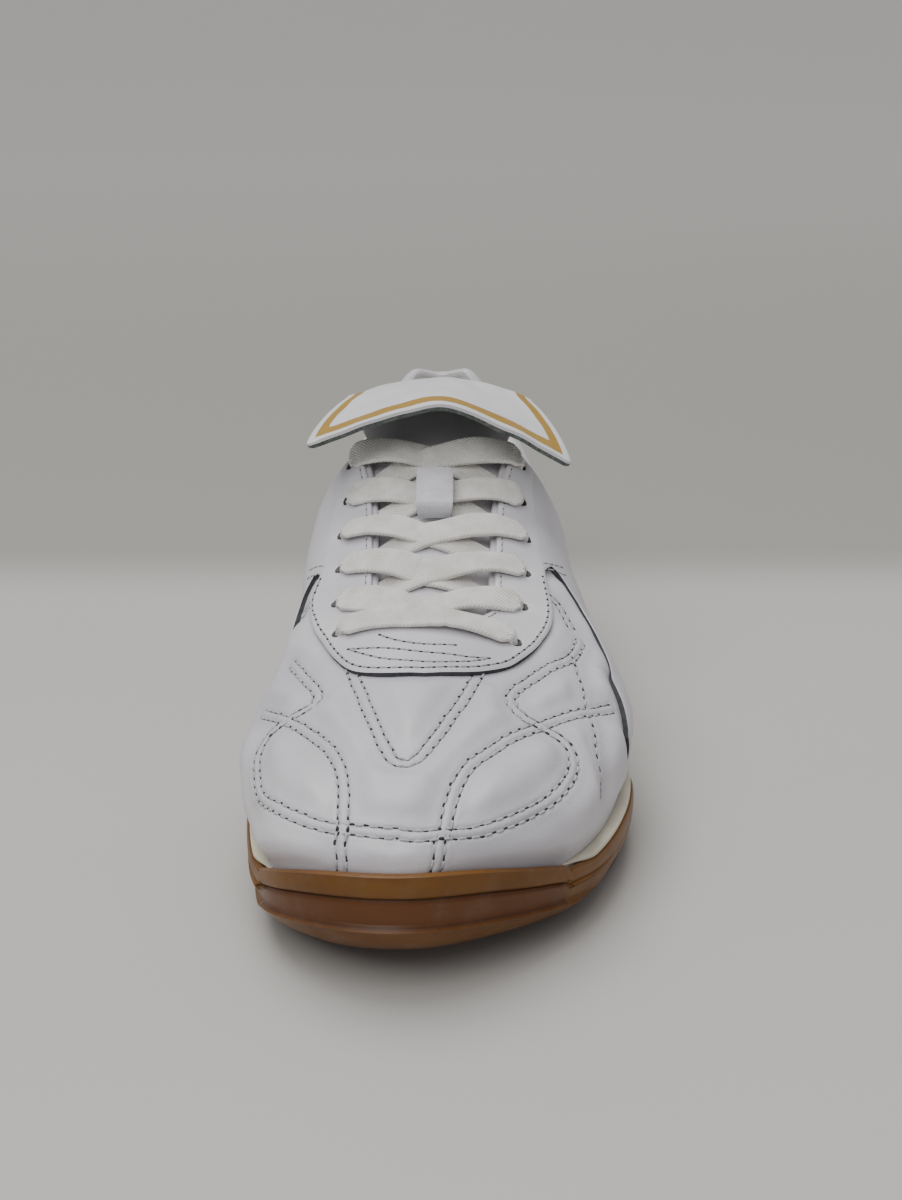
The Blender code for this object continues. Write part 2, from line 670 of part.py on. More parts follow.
def build_quarter():
    share = np.linspace(0, 1, 10)
    heel = upper_stations()
    heel = heel[heel < 0.36][:, None] + 0 * share
    part = np.linspace(0, 1, 8)[1:, None]
    grids = []
    for side, column in ((MEDIAL, "medial"), (LATERAL, "lateral")):
        low = QUARTER_FRONT["v"][0]
        front_at = QUARTER_FRONT[column]
        climb = (QUARTER_FRONT["v"] - low) / (quarter_top(side, front_at) - low)
        front = np.interp(share, climb / climb[-1], front_at)
        at = np.concatenate([heel, heel[-1] + part * (front - heel[-1])])
        v = low + share * (quarter_top(side, at) - low)
        out, flat = wall_normal(side, at, v), wall_point(side, at, v)
        faces = shell(flat + out * (OVERLAY_GAP + OVERLAY_WALL), flat + out * OVERLAY_GAP)
        grids += faces[:2] + faces[3:]
    return grid_object("quarter", grids, "white_leather")


def normals_of(grid):
    """Normals of a grid of points, on the side its columns turn from its rows."""
    return_along = np.gradient(grid, axis=0)
    return_across = np.gradient(grid, axis=1)
    normal = np.cross(return_across, return_along)
    return normal / np.linalg.norm(normal, axis=-1, keepdims=True)


def tongue_middle():
    """The tongue's middle sheet from under the vamp to the flap's free edge, and its wall in each row."""
    share = np.linspace(-1, 1, 9)
    at = np.array([0.705, 0.690, 0.665, 0.640, 0.605, 0.560, 0.510, 0.460, 0.420])
    half = np.interp(at, (0.42, 0.46, 0.50, 0.60, 0.64, 0.68, 0.705), (0.022, 0.025, 0.027, 0.027, 0.025, 0.018, 0.012))
    body = instep(at[:, None], half[:, None] * share, -TONGUE_DEPTH - TONGUE_WALL / 2)
    t = np.linspace(0, 1, 18)
    row = {name: blend(values, t)[:, None] for name, values in TONGUE.items()}
    across = row["half"] * share
    droop = np.where(across < 0, row["medial"], row["lateral"]) * across**2
    centre = body[-1, 4, 0] * (1 - ease(t, 0, 0.5))[:, None]
    pull = row["pull"] * across**2 * np.where(across < 0, 1.6, 3.3)
    back = 0.45 * droop * (1 - ease(t, 0.0, 0.35))[:, None]
    over = np.stack([centre + across, row["y"] + back - pull, row["z"] - droop], -1)
    return np.concatenate([body, over]), np.concatenate([0 * at + TONGUE_WALL, row["wall"][:, 0]])


def build_tongue():
    middle, wall = tongue_middle()
    half = normals_of(middle) * wall[:, None, None] / 2
    return grid_object("tongue", shell(middle + half, middle - half), "white_leather")


def strip(name, path, side, up, width, wall, material):
    """A flat strip along a path: a six-sided section with softened long edges."""
    section = ((-0.5, 0), (-0.44, 0.5), (0.44, 0.5), (0.5, 0), (0.44, -0.5), (-0.44, -0.5))
    loop = [path + side * (width * x)[:, None] + up * (wall * z)[:, None] for x, z in section]
    grid = np.stack(loop + loop[:1], 1)
    ends = [np.stack([end[[0, 5, 4]], end[[1, 2, 3]]]) for end in (grid[0], grid[-1])]
    return grid_object(name, [grid] + ends, material)


def frame_along(at, across, height):
    """Points of a path over the instep with the directions beside it and away from the shoe."""
    path = instep(at, across, height)
    up = instep(at, across, height + 1e-4) - path
    up /= np.linalg.norm(up, axis=-1, keepdims=True)
    run = np.gradient(path, axis=0)
    side = np.cross(run, up)
    side /= np.linalg.norm(side, axis=-1, keepdims=True)
    up = np.cross(side, run)
    up /= np.linalg.norm(up, axis=-1, keepdims=True)
    return path, side, up


OVER_FACING = OVERLAY_GAP + OVERLAY_WALL + GAP * 2 + LACE_WALL / 2


def into_eyelet(left):
    """Height above the leather and share of full width of a lace, at a distance from its eyelet."""
    height = OVER_FACING - (OVER_FACING - 0.0004) * (1 - ease(left, 0.0, 0.0015))
    return height, 0.28 + 0.72 * ease(left, 0.0016, 0.0064)


def lace_strand(name, side, row, middle):
    """One strand from under a facing, over the tongue and the other facing, into the next eyelet."""
    ends = []
    for column, k in (("medial", row), ("lateral", row + 1)) if side == LATERAL else (("lateral", row), ("medial", row + 1)):
        ends.append((EYELETS[column + "_at"][k], EYELETS[column][k]))
    (start_at, start), (end_at, end) = ends
    t = np.linspace(0, 1, 400)
    at, across = start_at + (end_at - start_at) * t, start + (end - start) * t
    margin = 0.0030
    reach = LACE_WIDTH * 0.5 / SOLE_LENGTH
    clear = np.minimum(half_gap(at - reach), half_gap(at + reach)) - margin > np.abs(across)
    first = t[np.argmax(clear)]
    t = np.concatenate([np.linspace(first, 0.87, 8), [0.915, 0.95, 0.975, 1]])
    at, across = start_at + (end_at - start_at) * t, start + (end - start) * t
    gap = half_gap(at)
    toward = across * side
    rise = ease(toward, -gap, 0 * gap)
    height = -0.0016 + (middle + 0.0016) * rise
    height = height + (OVER_FACING - middle) * ease(toward, 0 * gap, gap - 0.0045)
    left = np.abs(end - across)
    dip, narrow = into_eyelet(left)
    height = np.where(toward > gap, np.minimum(height, dip), height)
    width = LACE_WIDTH * narrow * (0.8 + 0.2 * ease(t, first, first + 0.12))
    path, beside, up = frame_along(at, across, height)
    return strip(name, path, beside, up, width, LACE_WALL * (0.85 + 0.15 * narrow), "lace_cotton")


def build_laces():
    share = np.concatenate([[0, 0.025, 0.05, 0.085], np.linspace(0.13, 0.87, 8), [0.915, 0.95, 0.975, 1]])
    start, end = (EYELETS["medial_at"][0], EYELETS["medial"][0]), (EYELETS["lateral_at"][0], EYELETS["lateral"][0])
    at, across = start[0] + (end[0] - start[0]) * share, start[1] + (end[1] - start[1]) * share
    height, narrow = into_eyelet(np.minimum(across - start[1], end[1] - across))
    path, beside, up = frame_along(at, across, height)
    strip("lace_bar", path, beside, up, LACE_WIDTH * narrow, LACE_WALL * (0.85 + 0.15 * narrow), "lace_cotton")
    for row in range(5):
        lower = lace_strand(f"lace_cross_{row + 1}", MEDIAL, row, 0.0004)
        upper = lace_strand("strand", LATERAL, row, 0.0004 + LACE_WALL * 0.9)
        combine(lower, upper, "UNION")


def build_keeper():
    t = np.linspace(0, 1, 13)
    at, height = blend(KEEPER["at"], t), blend(KEEPER["height"], t)
    across = np.linspace(-0.5, 0.5, 3) * KEEPER_WIDTH
    middle = instep(at[:, None], across, height[:, None])
    half = normals_of(middle) * KEEPER_WALL / 2
    return grid_object("lace_keeper", shell(middle + half, middle - half), "lining_fabric")


def punch_eyelets(targets):
    """Cut the twelve eyelets straight through the facings."""
    turn = np.radians(np.arange(0, 361, 45))
    for target in targets:
        grids = []
        for side in ("medial", "lateral"):
            for at, across in zip(EYELETS[side + "_at"], EYELETS[side]):
                base, top = instep(at, across, -0.0045), instep(at, across, 0.0045)
                axis = (top - base) / np.linalg.norm(top - base)
                one = np.cross(axis, (0, 1, 0))
                one /= np.linalg.norm(one)
                two = np.cross(axis, one)
                circle = (np.cos(turn)[:, None] * one + np.sin(turn)[:, None] * two) * EYELET_RADIUS
                grids.append(np.stack([base + 0 * circle, base + circle, top + circle, top + 0 * circle]))
        combine(target, grid_object("punch", grids, "white_leather"), "DIFFERENCE")


def centre_all():
    """Put the middle of the sole's box at x = 0 and y = 0."""
    points = np.concatenate([np.array([v.co for v in found.data.vertices]) for found in bpy.data.objects])
    low, high = points.min(0), points.max(0)
    shift = (low + high) / 2
    for found in bpy.data.objects:
        for v in found.data.vertices:
            v.co.x -= shift[0]
            v.co.y -= shift[1]
            v.co.z -= low[2]


def build_all():
    for name, colour in MATERIALS.items():
        found = bpy.data.materials.new(name)
        found.diffuse_color = colour
    build_outsole()
    build_midsole()
    build_insole()
    upper = build_upper()
    build_quarter()
    eyestay = build_eyestay()
    build_tongue()
    build_laces()
    build_keeper()
    punch_eyelets([upper, eyestay])
    centre_all()


for left_over in list(bpy.data.objects):
    bpy.data.objects.remove(left_over)
build_all()
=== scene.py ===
import math

import bmesh
import bpy
import numpy as np
from mathutils import Matrix, Vector
from mathutils.bvhtree import BVHTree


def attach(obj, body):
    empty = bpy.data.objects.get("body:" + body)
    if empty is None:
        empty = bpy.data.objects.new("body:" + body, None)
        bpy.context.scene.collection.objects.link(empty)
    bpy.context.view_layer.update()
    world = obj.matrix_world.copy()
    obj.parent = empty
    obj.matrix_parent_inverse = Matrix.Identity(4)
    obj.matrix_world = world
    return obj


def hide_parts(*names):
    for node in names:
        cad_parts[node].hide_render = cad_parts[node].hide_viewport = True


# Indoor soccer shoe for the left foot: quilted leather vamp, quarters, eyestay, tongue with a fold-over
# flap, flat laces, foam midsole and gum outsole. Metres, +Z up, toe towards -Y, lateral side towards +X.

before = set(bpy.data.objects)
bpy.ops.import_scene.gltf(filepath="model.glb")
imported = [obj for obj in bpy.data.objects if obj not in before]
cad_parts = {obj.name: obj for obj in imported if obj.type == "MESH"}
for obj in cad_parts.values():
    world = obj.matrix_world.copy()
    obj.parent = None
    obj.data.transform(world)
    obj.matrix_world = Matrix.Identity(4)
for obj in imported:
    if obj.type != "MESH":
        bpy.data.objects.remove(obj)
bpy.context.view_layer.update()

# Driving sizes. They follow the solids', with a little less toe spring and wider laces.
SOLE_LENGTH = 0.292
BALL_WIDTH = 0.109
INSTEP_HEIGHT = 0.090
OUTSOLE_THICKNESS = 0.0055
TOE_LIP_HEIGHT = 0.0348
TOE_LIP_WALL = 0.0032
EDGE_LIP_HEIGHT = 0.0008
ARCH_RISE = 0.0015
TOE_SPRING = 0.0099
TREAD_TUCK = 0.0080
HEEL_BEVEL = 0.0020
MIDSOLE_HEEL = 0.0290
MIDSOLE_BALL = 0.0190
MIDSOLE_LEDGE = 0.0014
GAP = 0.0003
UPPER_WALL = 0.0020
COLLAR_PAD = 0.0075
OVERLAY_WALL = 0.0012
OVERLAY_GAP = 0.0005
FEATHER_INSET = 0.0042
CROWN_RADIUS = 0.040
EYELET_RADIUS = 0.0020
TONGUE_WALL = 0.0030
TONGUE_DEPTH = 0.0030
LACE_WIDTH = 0.0094
LACE_WALL = 0.0014
INSOLE_WALL = 0.0040
KEEPER_WIDTH = 0.0104
KEEPER_WALL = 0.0010
OVERLAY_TOP = OVERLAY_GAP + OVERLAY_WALL
OVER_FACING = OVERLAY_TOP + GAP * 2 + LACE_WALL / 2
CENTRE_SHIFT = np.array([-0.001412, -0.000248, 0.0])
WELD = 2e-6

MEDIAL, LATERAL = -1, 1
SIDE_NAME = {MEDIAL: "medial", LATERAL: "lateral"}
MM = 0.001
# How much fuller than the solids the wall is over the ball, by side, and where along the sole
SWELL = {MEDIAL: 0.0008, LATERAL: -0.0026}
SWELL_MIDDLE, SWELL_SPREAD = 0.79, 0.075


def columns(names, *rows):
    """A short table as a dictionary of arrays, one for each named column."""
    return dict(zip(names.split(), np.array(rows, float).T))


# The sole's plan from heel to toe: shares of the length, then of the ball width on each side of the
# heel's axis
PLAN = columns(
    "at medial lateral",
    (0.000, 0.000, 0.000),
    (0.020, -0.175, 0.175),
    (0.060, -0.275, 0.275),
    (0.120, -0.325, 0.325),
    (0.200, -0.335, 0.340),
    (0.300, -0.325, 0.340),
    (0.410, -0.328, 0.365),
    (0.520, -0.370, 0.430),
    (0.620, -0.435, 0.495),
    (0.690, -0.480, 0.517),
    (0.750, -0.491, 0.505),
    (0.810, -0.478, 0.462),
    (0.870, -0.450, 0.388),
    (0.925, -0.400, 0.272),
    (0.970, -0.295, 0.125),
    (1.000, -0.085, -0.085),
)

# Heights along the sole: lip, midsole and spring are shares of their own named heights. tuck is how far
# the tread is set in from the plan, as a share of its named size.
SOLE_SIDE = columns(
    "at lip midsole spring tuck",
    (0.00, 0.00, 1.00, 0.00, 0.42),
    (0.12, 0.00, 0.97, 0.00, 0.42),
    (0.30, 0.00, 0.70, 0.00, 0.42),
    (0.50, 0.00, 0.25, 0.00, 0.42),
    (0.58, 0.06, 0.11, 0.00, 0.42),
    (0.65, 0.31, 0.02, 0.00, 0.41),
    (0.70, 0.54, 0.01, 0.00, 0.40),
    (0.76, 0.57, 0.00, 0.03, 0.48),
    (0.83, 0.53, 0.03, 0.16, 0.74),
    (0.88, 0.50, 0.10, 0.33, 0.86),
    (0.93, 0.71, 0.22, 0.58, 1.00),
    (0.97, 0.91, 0.32, 0.81, 1.02),
    (1.00, 1.00, 0.40, 1.00, 1.06),
)

# Sections of the upper from heel to toe, as in the solids: widths are shares of the ball width, heights
# of the instep height, and turn is how far the wall has leant over at its edge, in degrees
SECTIONS = columns(
    "at centre bulge_in bulge_z shoulder_medial shoulder_lateral shoulder_z "
    "edge edge_z turn shoulder_lean edge_lean",
    (0.00, 0.000, 0.010, 0.48, 0.000, 0.000, 0.73, 0.000, 0.965, 6, 0.030, 0.065),
    (0.03, 0.000, 0.010, 0.48, -0.165, 0.165, 0.72, 0.130, 0.945, 7, 0.028, 0.060),
    (0.08, 0.000, 0.010, 0.48, -0.245, 0.245, 0.69, 0.205, 0.880, 9, 0.020, 0.045),
    (0.15, 0.000, 0.008, 0.48, -0.290, 0.292, 0.63, 0.262, 0.775, 10, 0.008, 0.018),
    (0.24, 0.000, -0.004, 0.47, -0.335, 0.345, 0.58, 0.312, 0.690, 11, 0.000, 0.000),
    (0.32, -0.004, -0.012, 0.46, -0.350, 0.355, 0.62, 0.300, 0.740, 20, 0.000, 0.000),
    (0.39, -0.008, -0.014, 0.46, -0.358, 0.345, 0.72, 0.222, 0.970, 48, 0.000, 0.000),
    (0.46, -0.011, -0.008, 0.45, -0.362, 0.330, 0.70, 0.178, 0.875, 62, 0.000, 0.000),
    (0.54, -0.012, 0.000, 0.42, -0.358, 0.335, 0.645, 0.165, 0.785, 66, 0.000, 0.000),
    (0.62, -0.014, 0.008, 0.38, -0.358, 0.355, 0.595, 0.158, 0.700, 67, 0.000, 0.000),
    (0.70, -0.020, 0.014, 0.36, -0.350, 0.362, 0.545, 0.155, 0.622, 67, 0.000, 0.000),
    (0.78, -0.035, 0.020, 0.36, -0.345, 0.335, 0.515, 0.150, 0.582, 67, 0.000, 0.000),
    (0.86, -0.058, 0.028, 0.365, -0.315, 0.270, 0.490, 0.135, 0.552, 67, 0.000, 0.000),
    (0.92, -0.072, 0.033, 0.37, -0.285, 0.185, 0.470, 0.105, 0.523, 67, 0.000, 0.000),
    (0.97, -0.081, 0.034, 0.37, -0.225, 0.075, 0.450, 0.060, 0.482, 67, 0.008, 0.020),
    (1.00, -0.085, 0.034, 0.37, -0.085, -0.085, 0.42, 0.000, 0.450, 67, 0.018, 0.055),
)
THROAT_END = 0.672
THROAT_ROUND = 0.045

# The outsole's wall below its rim: share of the way down, then the inset and the share of the tuck, first
# along the sides and then at the toe's bumper
SOLE_WALL = (
    (0.04, 0.0004, 0.00, 0.0007, 0.00),
    (0.09, 0.0001, 0.00, 0.0003, 0.00),
    (0.21, 0.0000, 0.03, 0.0003, 0.00),
    (0.245, 0.0001, 0.04, 0.0008, 0.00),
    (0.265, 0.0003, 0.05, 0.0021, 0.00),
    (0.290, 0.0001, 0.06, 0.0016, 0.00),
    (0.33, 0.0000, 0.08, 0.0011, 0.00),
    (0.55, 0.0000, 0.28, 0.0013, 0.00),
    (0.585, 0.0001, 0.32, 0.0006, 0.00),
    (0.61, 0.0002, 0.35, -0.0004, 0.01),
    (0.645, 0.0002, 0.40, 0.0003, 0.04),
    (0.70, 0.0003, 0.48, 0.0005, 0.11),
    (0.80, 0.0004, 0.62, 0.0006, 0.27),
    (0.90, 0.0002, 0.81, 0.0003, 0.55),
    (0.97, 0.0000, 0.94, 0.0000, 0.84),
    (1.00, 0.0000, 1.00, 0.0000, 1.00),
)
# How far in the midsole's ledge stops on the outsole's rim, towards the toe
LEDGE_IN = 0.0013
# Where the midsole's ledge ends and the bumper begins, as a share of the length
LEDGE_END = 0.9045
# Where the steps of the outsole's wall lie, as shares of the way down: start, end and count of each run
SOLE_WALL_STEPS = ((0.04, 0.21, 5), (0.225, 0.33, 12), (0.36, 0.55, 6), (0.565, 0.66, 10), (0.69, 1.0, 11))
# Where the wall's side profile becomes the toe's, as shares of the length
TOE_BLEND = (0.80, 0.93)
# The bumper's panel, a deeper tone with painted shade: where it starts, then its groove and its ridge as
# shares of the way down
PANEL_START, PANEL_GROOVE, PANEL_RIDGE = 0.905, 0.268, 0.575
# The midsole's wall: shares of its height and how far each stands out
MIDSOLE_WALL = (
    (0.06, 0.0), (0.3, -0.0005), (0.55, -0.0006), (0.62, -0.0001), (0.68, 0.0), (0.74, -0.0005), (0.92, 0.0),
)
# Zigzag grooves of the tread: their spacing, the zigzag's pitch and their depth
TREAD_PITCH, TREAD_ZIGZAG, TREAD_DEPTH = 0.0062, 0.016, 0.0010
FLEX_GROOVES = (0.620, 0.675, 0.730)
FLEX_GROOVE_WIDTH = 0.0030
FLEX_GROOVE_DEPTH = 0.0016

# Eyelets from the vamp up, on each facing: place along the sole and distance across from the centre line
EYELETS = columns(
    "medial_at medial lateral_at lateral",
    (0.662, -0.0272, 0.688, 0.0242),
    (0.611, -0.0287, 0.621, 0.0264),
    (0.556, -0.0287, 0.563, 0.0280),
    (0.499, -0.0293, 0.503, 0.0292),
    (0.446, -0.0285, 0.447, 0.0282),
    (0.402, -0.0282, 0.403, 0.0282),
)

# Outline of the eyestay from the top of a facing to the middle of its lower edge
EYESTAY = columns(
    "inner_at turn at medial lateral",
    (0.392, 90, 0.388, -0.0335, 0.0330),
    (0.440, 90, 0.440, -0.0340, 0.0335),
    (0.500, 90, 0.500, -0.0347, 0.0345),
    (0.545, 90, 0.545, -0.0360, 0.0350),
    (0.590, 90, 0.590, -0.0383, 0.0358),
    (0.620, 90, 0.630, -0.0358, 0.0354),
    (0.627, 70, 0.668, -0.0318, 0.0325),
    (0.627, 52, 0.704, -0.0268, 0.0278),
    (0.627, 34, 0.736, -0.0205, 0.0215),
    (0.627, 17, 0.756, -0.0112, 0.0122),
    (0.627, 0, 0.7625, 0.0, 0.0),
)

# Front edge of the quarters, up from the sole: share of the way up the wall, then the place on each side
QUARTER_FRONT = columns(
    "v medial lateral",
    (0.030, 0.715, 0.722),
    (0.190, 0.696, 0.738),
    (0.310, 0.655, 0.676),
    (0.430, 0.602, 0.583),
    (0.500, 0.574, 0.547),
    (0.575, 0.550, 0.530),
    (0.620, 0.545, 0.523),
    (0.670, 0.537, 0.522),
    (0.725, 0.546, 0.545),
)

# Middle of the tongue from the throat over the fold to the free edge of the flap
TONGUE = columns(
    "y z half medial lateral pull wall",
    (0.0320, 0.0896, 0.0215, 12.5, 12.5, 0, 0.0030),
    (0.0400, 0.0934, 0.0225, 11.6, 11.8, 0, 0.0030),
    (0.0480, 0.0966, 0.0250, 10.0, 10.6, 0, 0.0029),
    (0.0550, 0.0989, 0.0278, 8.2, 9.0, 0, 0.0027),
    (0.0596, 0.1004, 0.0293, 7.2, 8.4, 0, 0.0024),
    (0.0620, 0.1019, 0.0299, 7.0, 8.3, 0, 0.0022),
    (0.0620, 0.1038, 0.0302, 6.9, 8.3, 0, 0.0022),
    (0.0596, 0.1051, 0.0306, 6.8, 8.4, 0, 0.0022),
    (0.0550, 0.1057, 0.0315, 6.8, 8.6, 0, 0.0022),
    (0.0480, 0.1063, 0.0345, 6.8, 8.8, 0.2, 0.0022),
    (0.0380, 0.1069, 0.0377, 6.8, 9.3, 0.5, 0.0022),
    (0.0270, 0.1073, 0.0401, 6.9, 9.8, 0.8, 0.0022),
    (0.0170, 0.1073, 0.0412, 7.0, 10.2, 1, 0.0022),
    (0.0148, 0.1072, 0.0404, 7.0, 10.2, 1, 0.0022),
)

# The tongue under the laces, from under the vamp up: place along the sole, and half its width at some of
# them
TONGUE_BODY = (0.705, 0.690, 0.665, 0.640, 0.605, 0.560, 0.510, 0.460, 0.420)
TONGUE_HALF = columns(
    "at half",
    (0.42, 0.022), (0.46, 0.025), (0.50, 0.027), (0.60, 0.027), (0.64, 0.025), (0.68, 0.018), (0.705, 0.012),
)
# How round the top of the flap's roof is, the radius of its corners, and where along its run the flap
# begins
ROOF_ROUND = 0.009
FLAP_CORNER = 0.0035
FLAP_START = 0.42

# Keeper over the fourth crossing: place along the sole and height of its middle above the leather
KEEPER = columns(
    "at height",
    (0.5050, -0.0018),
    (0.5048, 0.0010),
    (0.5030, 0.0028),
    (0.4970, 0.0035),
    (0.4740, 0.0038),
    (0.4530, 0.0035),
    (0.4480, 0.0028),
    (0.4462, 0.0010),
    (0.4460, -0.0018),
)

# Stitched lines over the vamp: places along the sole and millimetres across from the centre line
POINT_LINE = (
    (0.7180, -22.3), (0.7322, -21.2), (0.7671, -17.9), (0.8045, -14.1), (0.8468, -9.5), (0.8745, -6.4),
    (0.8877, -4.7), (0.8981, -2.5), (0.9016, -0.5), (0.8979, 1.7), (0.8875, 3.5), (0.8660, 5.9),
    (0.8481, 7.7), (0.8212, 9.5), (0.7885, 12.1), (0.7652, 13.5), (0.7440, 14.8),
)
TOE_LINE = (
    (0.6663, -43.1), (0.7116, -36.2), (0.7451, -31.3), (0.7572, -30.5), (0.7653, -31.5), (0.7694, -36.3),
    (0.7723, -41.1), (0.7778, -45.1), (0.7991, -47.3), (0.8368, -45.9), (0.8633, -43.6), (0.9008, -35.8),
    (0.9340, -27.3), (0.9623, -17.6), (0.9775, -9.5), (0.9905, 1.8), (0.9777, 12.5), (0.9659, 19.8),
    (0.9499, 25.9), (0.9257, 33.1), (0.9014, 38.7), (0.8753, 42.4), (0.8445, 43.8), (0.8245, 41.0),
    (0.8140, 35.5), (0.8085, 29.3), (0.7908, 24.4), (0.7798, 24.0), (0.7689, 24.8), (0.7378, 29.5),
    (0.7042, 35.2), (0.6753, 41.5), (0.6343, 45.5),
)
LEFT_LOBE = (
    (0.7213, -50.9), (0.7445, -45.8), (0.7660, -40.8), (0.8055, -31.8), (0.8289, -26.9), (0.8567, -21.7),
    (0.8873, -17.9), (0.9190, -15.7), (0.9512, -14.6), (0.9737, -14.3), (0.9867, -16.4), (0.9874, -19.1),
)
RIGHT_LOBE = (
    (0.7233, 54.8), (0.7410, 50.5), (0.7679, 43.9), (0.7914, 38.1), (0.8160, 32.2), (0.8417, 26.2),
    (0.8722, 20.1), (0.8927, 16.3), (0.9183, 13.7), (0.9452, 12.3), (0.9702, 11.7), (0.9898, 11.2),
    (0.9930, 15.0),
)
SIDE_LINE = ((0.6711, 42.4), (0.7148, 44.6), (0.7472, 46.2), (0.7825, 49.1), (0.8205, 52.4), (0.8339, 59.4))
RIGHT_HOOK = ((0.5783, 36.2), (0.5830, 39.3), (0.5912, 40.7), (0.6049, 41.8), (0.6150, 42.7))
LEFT_HOOK = ((0.5728, -37.0), (0.5758, -40.6), (0.5849, -43.7))
LEAF_UP = (
    (0.6970, -22.9), (0.7030, -18.9), (0.7120, -12.8), (0.7202, -6.5), (0.7265, -0.3), (0.7294, 5.5),
    (0.7311, 11.4), (0.7280, 16.7),
)
LEAF_LOW = (
    (0.6970, -22.9), (0.7136, -18.1), (0.7315, -11.5), (0.7404, -4.8), (0.7444, 1.8), (0.7419, 7.9),
    (0.7350, 13.8), (0.7280, 16.7),
)
DOUBLE_ROWS = (POINT_LINE, TOE_LINE, LEFT_LOBE, RIGHT_LOBE, RIGHT_HOOK, LEFT_HOOK)
FAINT_ROWS = (
    ((0.5337, 33.3), (0.5198, 38.2), (0.5021, 43.8)),
    ((0.5437, 34.3), (0.5298, 39.2), (0.5121, 44.8)),
    ((0.5437, -31.9), (0.5304, -36.5), (0.5190, -41.0)),
    ((0.5537, -32.9), (0.5404, -37.5), (0.5290, -42.0)),
)
STAY_TOP_ROW = ((0.6883, -14.0), (0.7023, -9.1), (0.7115, -3.0), (0.7136, 2.7), (0.7131, 7.2))

# The leather's swell between the seams, how far from a seam it gains most, and how near a border it ends
PUFF = 0.0026
PUFF_REACH = 0.0045
BORDER_REACH = 0.0045
# Depth of the grooves under double and single rows, height of the ridge between, and the leather's waves
DOUBLE_GROOVE, SINGLE_GROOVE, ROW_RIDGE = 0.00038, 0.00026, 0.00012
VAMP_WAVES = 0.00022

# Stitches: how far apart double rows lie, the lengths of a stitch, half a thread's thickness, a hole's half
# sizes, and the steps in which rows and the quilting's lines are worked out
ROW_APART = 0.0028
STITCH = 0.0037
FINE_STITCH = 0.0031
THREAD_HALF = 0.00030
HOLE_SIZE = (0.00078, 0.00050)
ROW_STEP = 0.0012
QUILT_STEP = 0.003

# The gold line on the flap: how far in from the edge it runs, and its width
GOLD_LINE_IN = 0.0042
GOLD_LINE_WIDTH = 0.0032

# Creases in the vamp: start and end (place along the sole, millimetres across), then depth and width in mm
CREASES = (
    ((0.905, -4.0), (0.925, 10.0), 0.22, 1.6),
    ((0.926, -13.0), (0.934, 6.0), 0.18, 1.8),
    ((0.800, -20.0), (0.835, -17.0), 0.20, 2.0),
    ((0.775, 22.0), (0.760, 17.0), 0.22, 1.8),
    ((0.755, -29.0), (0.742, -23.0), 0.25, 2.0),
    ((0.690, 36.0), (0.665, 45.0), 0.25, 2.2),
    ((0.610, 41.0), (0.655, 38.0), 0.30, 2.6),
    ((0.600, -44.0), (0.655, -38.0), 0.30, 2.6),
    ((0.880, 30.0), (0.905, 24.0), 0.16, 1.6),
    ((0.870, -33.0), (0.900, -27.0), 0.16, 1.6),
)

# The section of a flat lace: shares of half its width and half its wall, thicker at both borders
LACE_PROFILE = np.array(
    [
        (1.00, 0.00), (0.985, 0.55), (0.93, 0.92), (0.84, 1.05), (0.60, 0.96), (0.30, 0.90),
        (0.0, 0.88), (-0.30, 0.90), (-0.60, 0.96), (-0.84, 1.05), (-0.93, 0.92), (-0.985, 0.55),
        (-1.00, 0.00), (-0.985, -0.55), (-0.93, -0.92), (-0.84, -1.0), (-0.60, -0.92), (-0.30, -0.88),
        (0.0, -0.86), (0.30, -0.88), (0.60, -0.92), (0.84, -1.0), (0.93, -0.92), (0.985, -0.55),
        (1.00, 0.00),
    ]
)
# How far the laces sink below a round bridge from facing to facing
LACE_SAG = 0.0022
# How each strand bows along the shoe and rolls, from the vamp up: towards the medial and the lateral side
STRAND_BOW = ((0.004, 0.003), (0.004, 0.004), (0.005, 0.004), (0.004, 0.003), (0.003, 0.003))
STRAND_CURL = ((0.02, -0.05), (0.03, -0.06), (0.02, -0.05), (0.04, -0.04), (0.03, -0.04))

# Where along the sole the collar's padding ends, where the quarter's border turns to run beside the
# facing, and where the facing's edge stops being flush with the quarter
COLLAR_FRONT = (0.27, 0.35)
FACING_START = (0.345, 0.392)
FLUSH_END = (0.535, 0.565)
# The quarter's border below the collar, as a share of the wall
QUARTER_TOP = 0.92

# One thread of a stitch: shares of its length, its lift there in millimetres and its share of full thickness
THREAD_SHARES = (0.17, 0.18, 0.24, 0.36, 0.5, 0.64, 0.76, 0.82, 0.83)
THREAD_LIFTS = (-0.30, -0.25, 0.10, 0.22, 0.24, 0.22, 0.10, -0.25, -0.30)
THREAD_THICK = (0.0, 0.8, 1.0, 1.05, 1.05, 1.05, 1.0, 0.8, 0.0)

# The room's lamps: name, kind, energy, place and target
LAMPS = (
    ("overhead", "SUN", 1.72, (-0.22, 0.40, 1.30), (0, 0, 0)),
    ("front", "AREA", 11.5, (-0.4, -0.8, 1.35), (0, -0.1, 0.05)),
)
SUN_ANGLE = 42
PANEL_SIZE = 1.2
SKY = 0.36

# The camera: focal length and long side in millimetres, place, then pitch, yaw and roll in degrees
LENS, LONG_SIDE = 51, 36
CAMERA_PLACE = (0.003588, -0.49905, 0.2434)
CAMERA_TURN = (21.28, -0.15, -0.23)


def angle_of(at):
    """The angle whose cosine runs along the length: even steps of it round both ends."""
    return np.arccos(1 - 2 * np.clip(at, 0, 1))


def place_of(angle):
    """The share of the length at an angle, the inverse of angle_of."""
    return (1 - np.cos(angle)) / 2


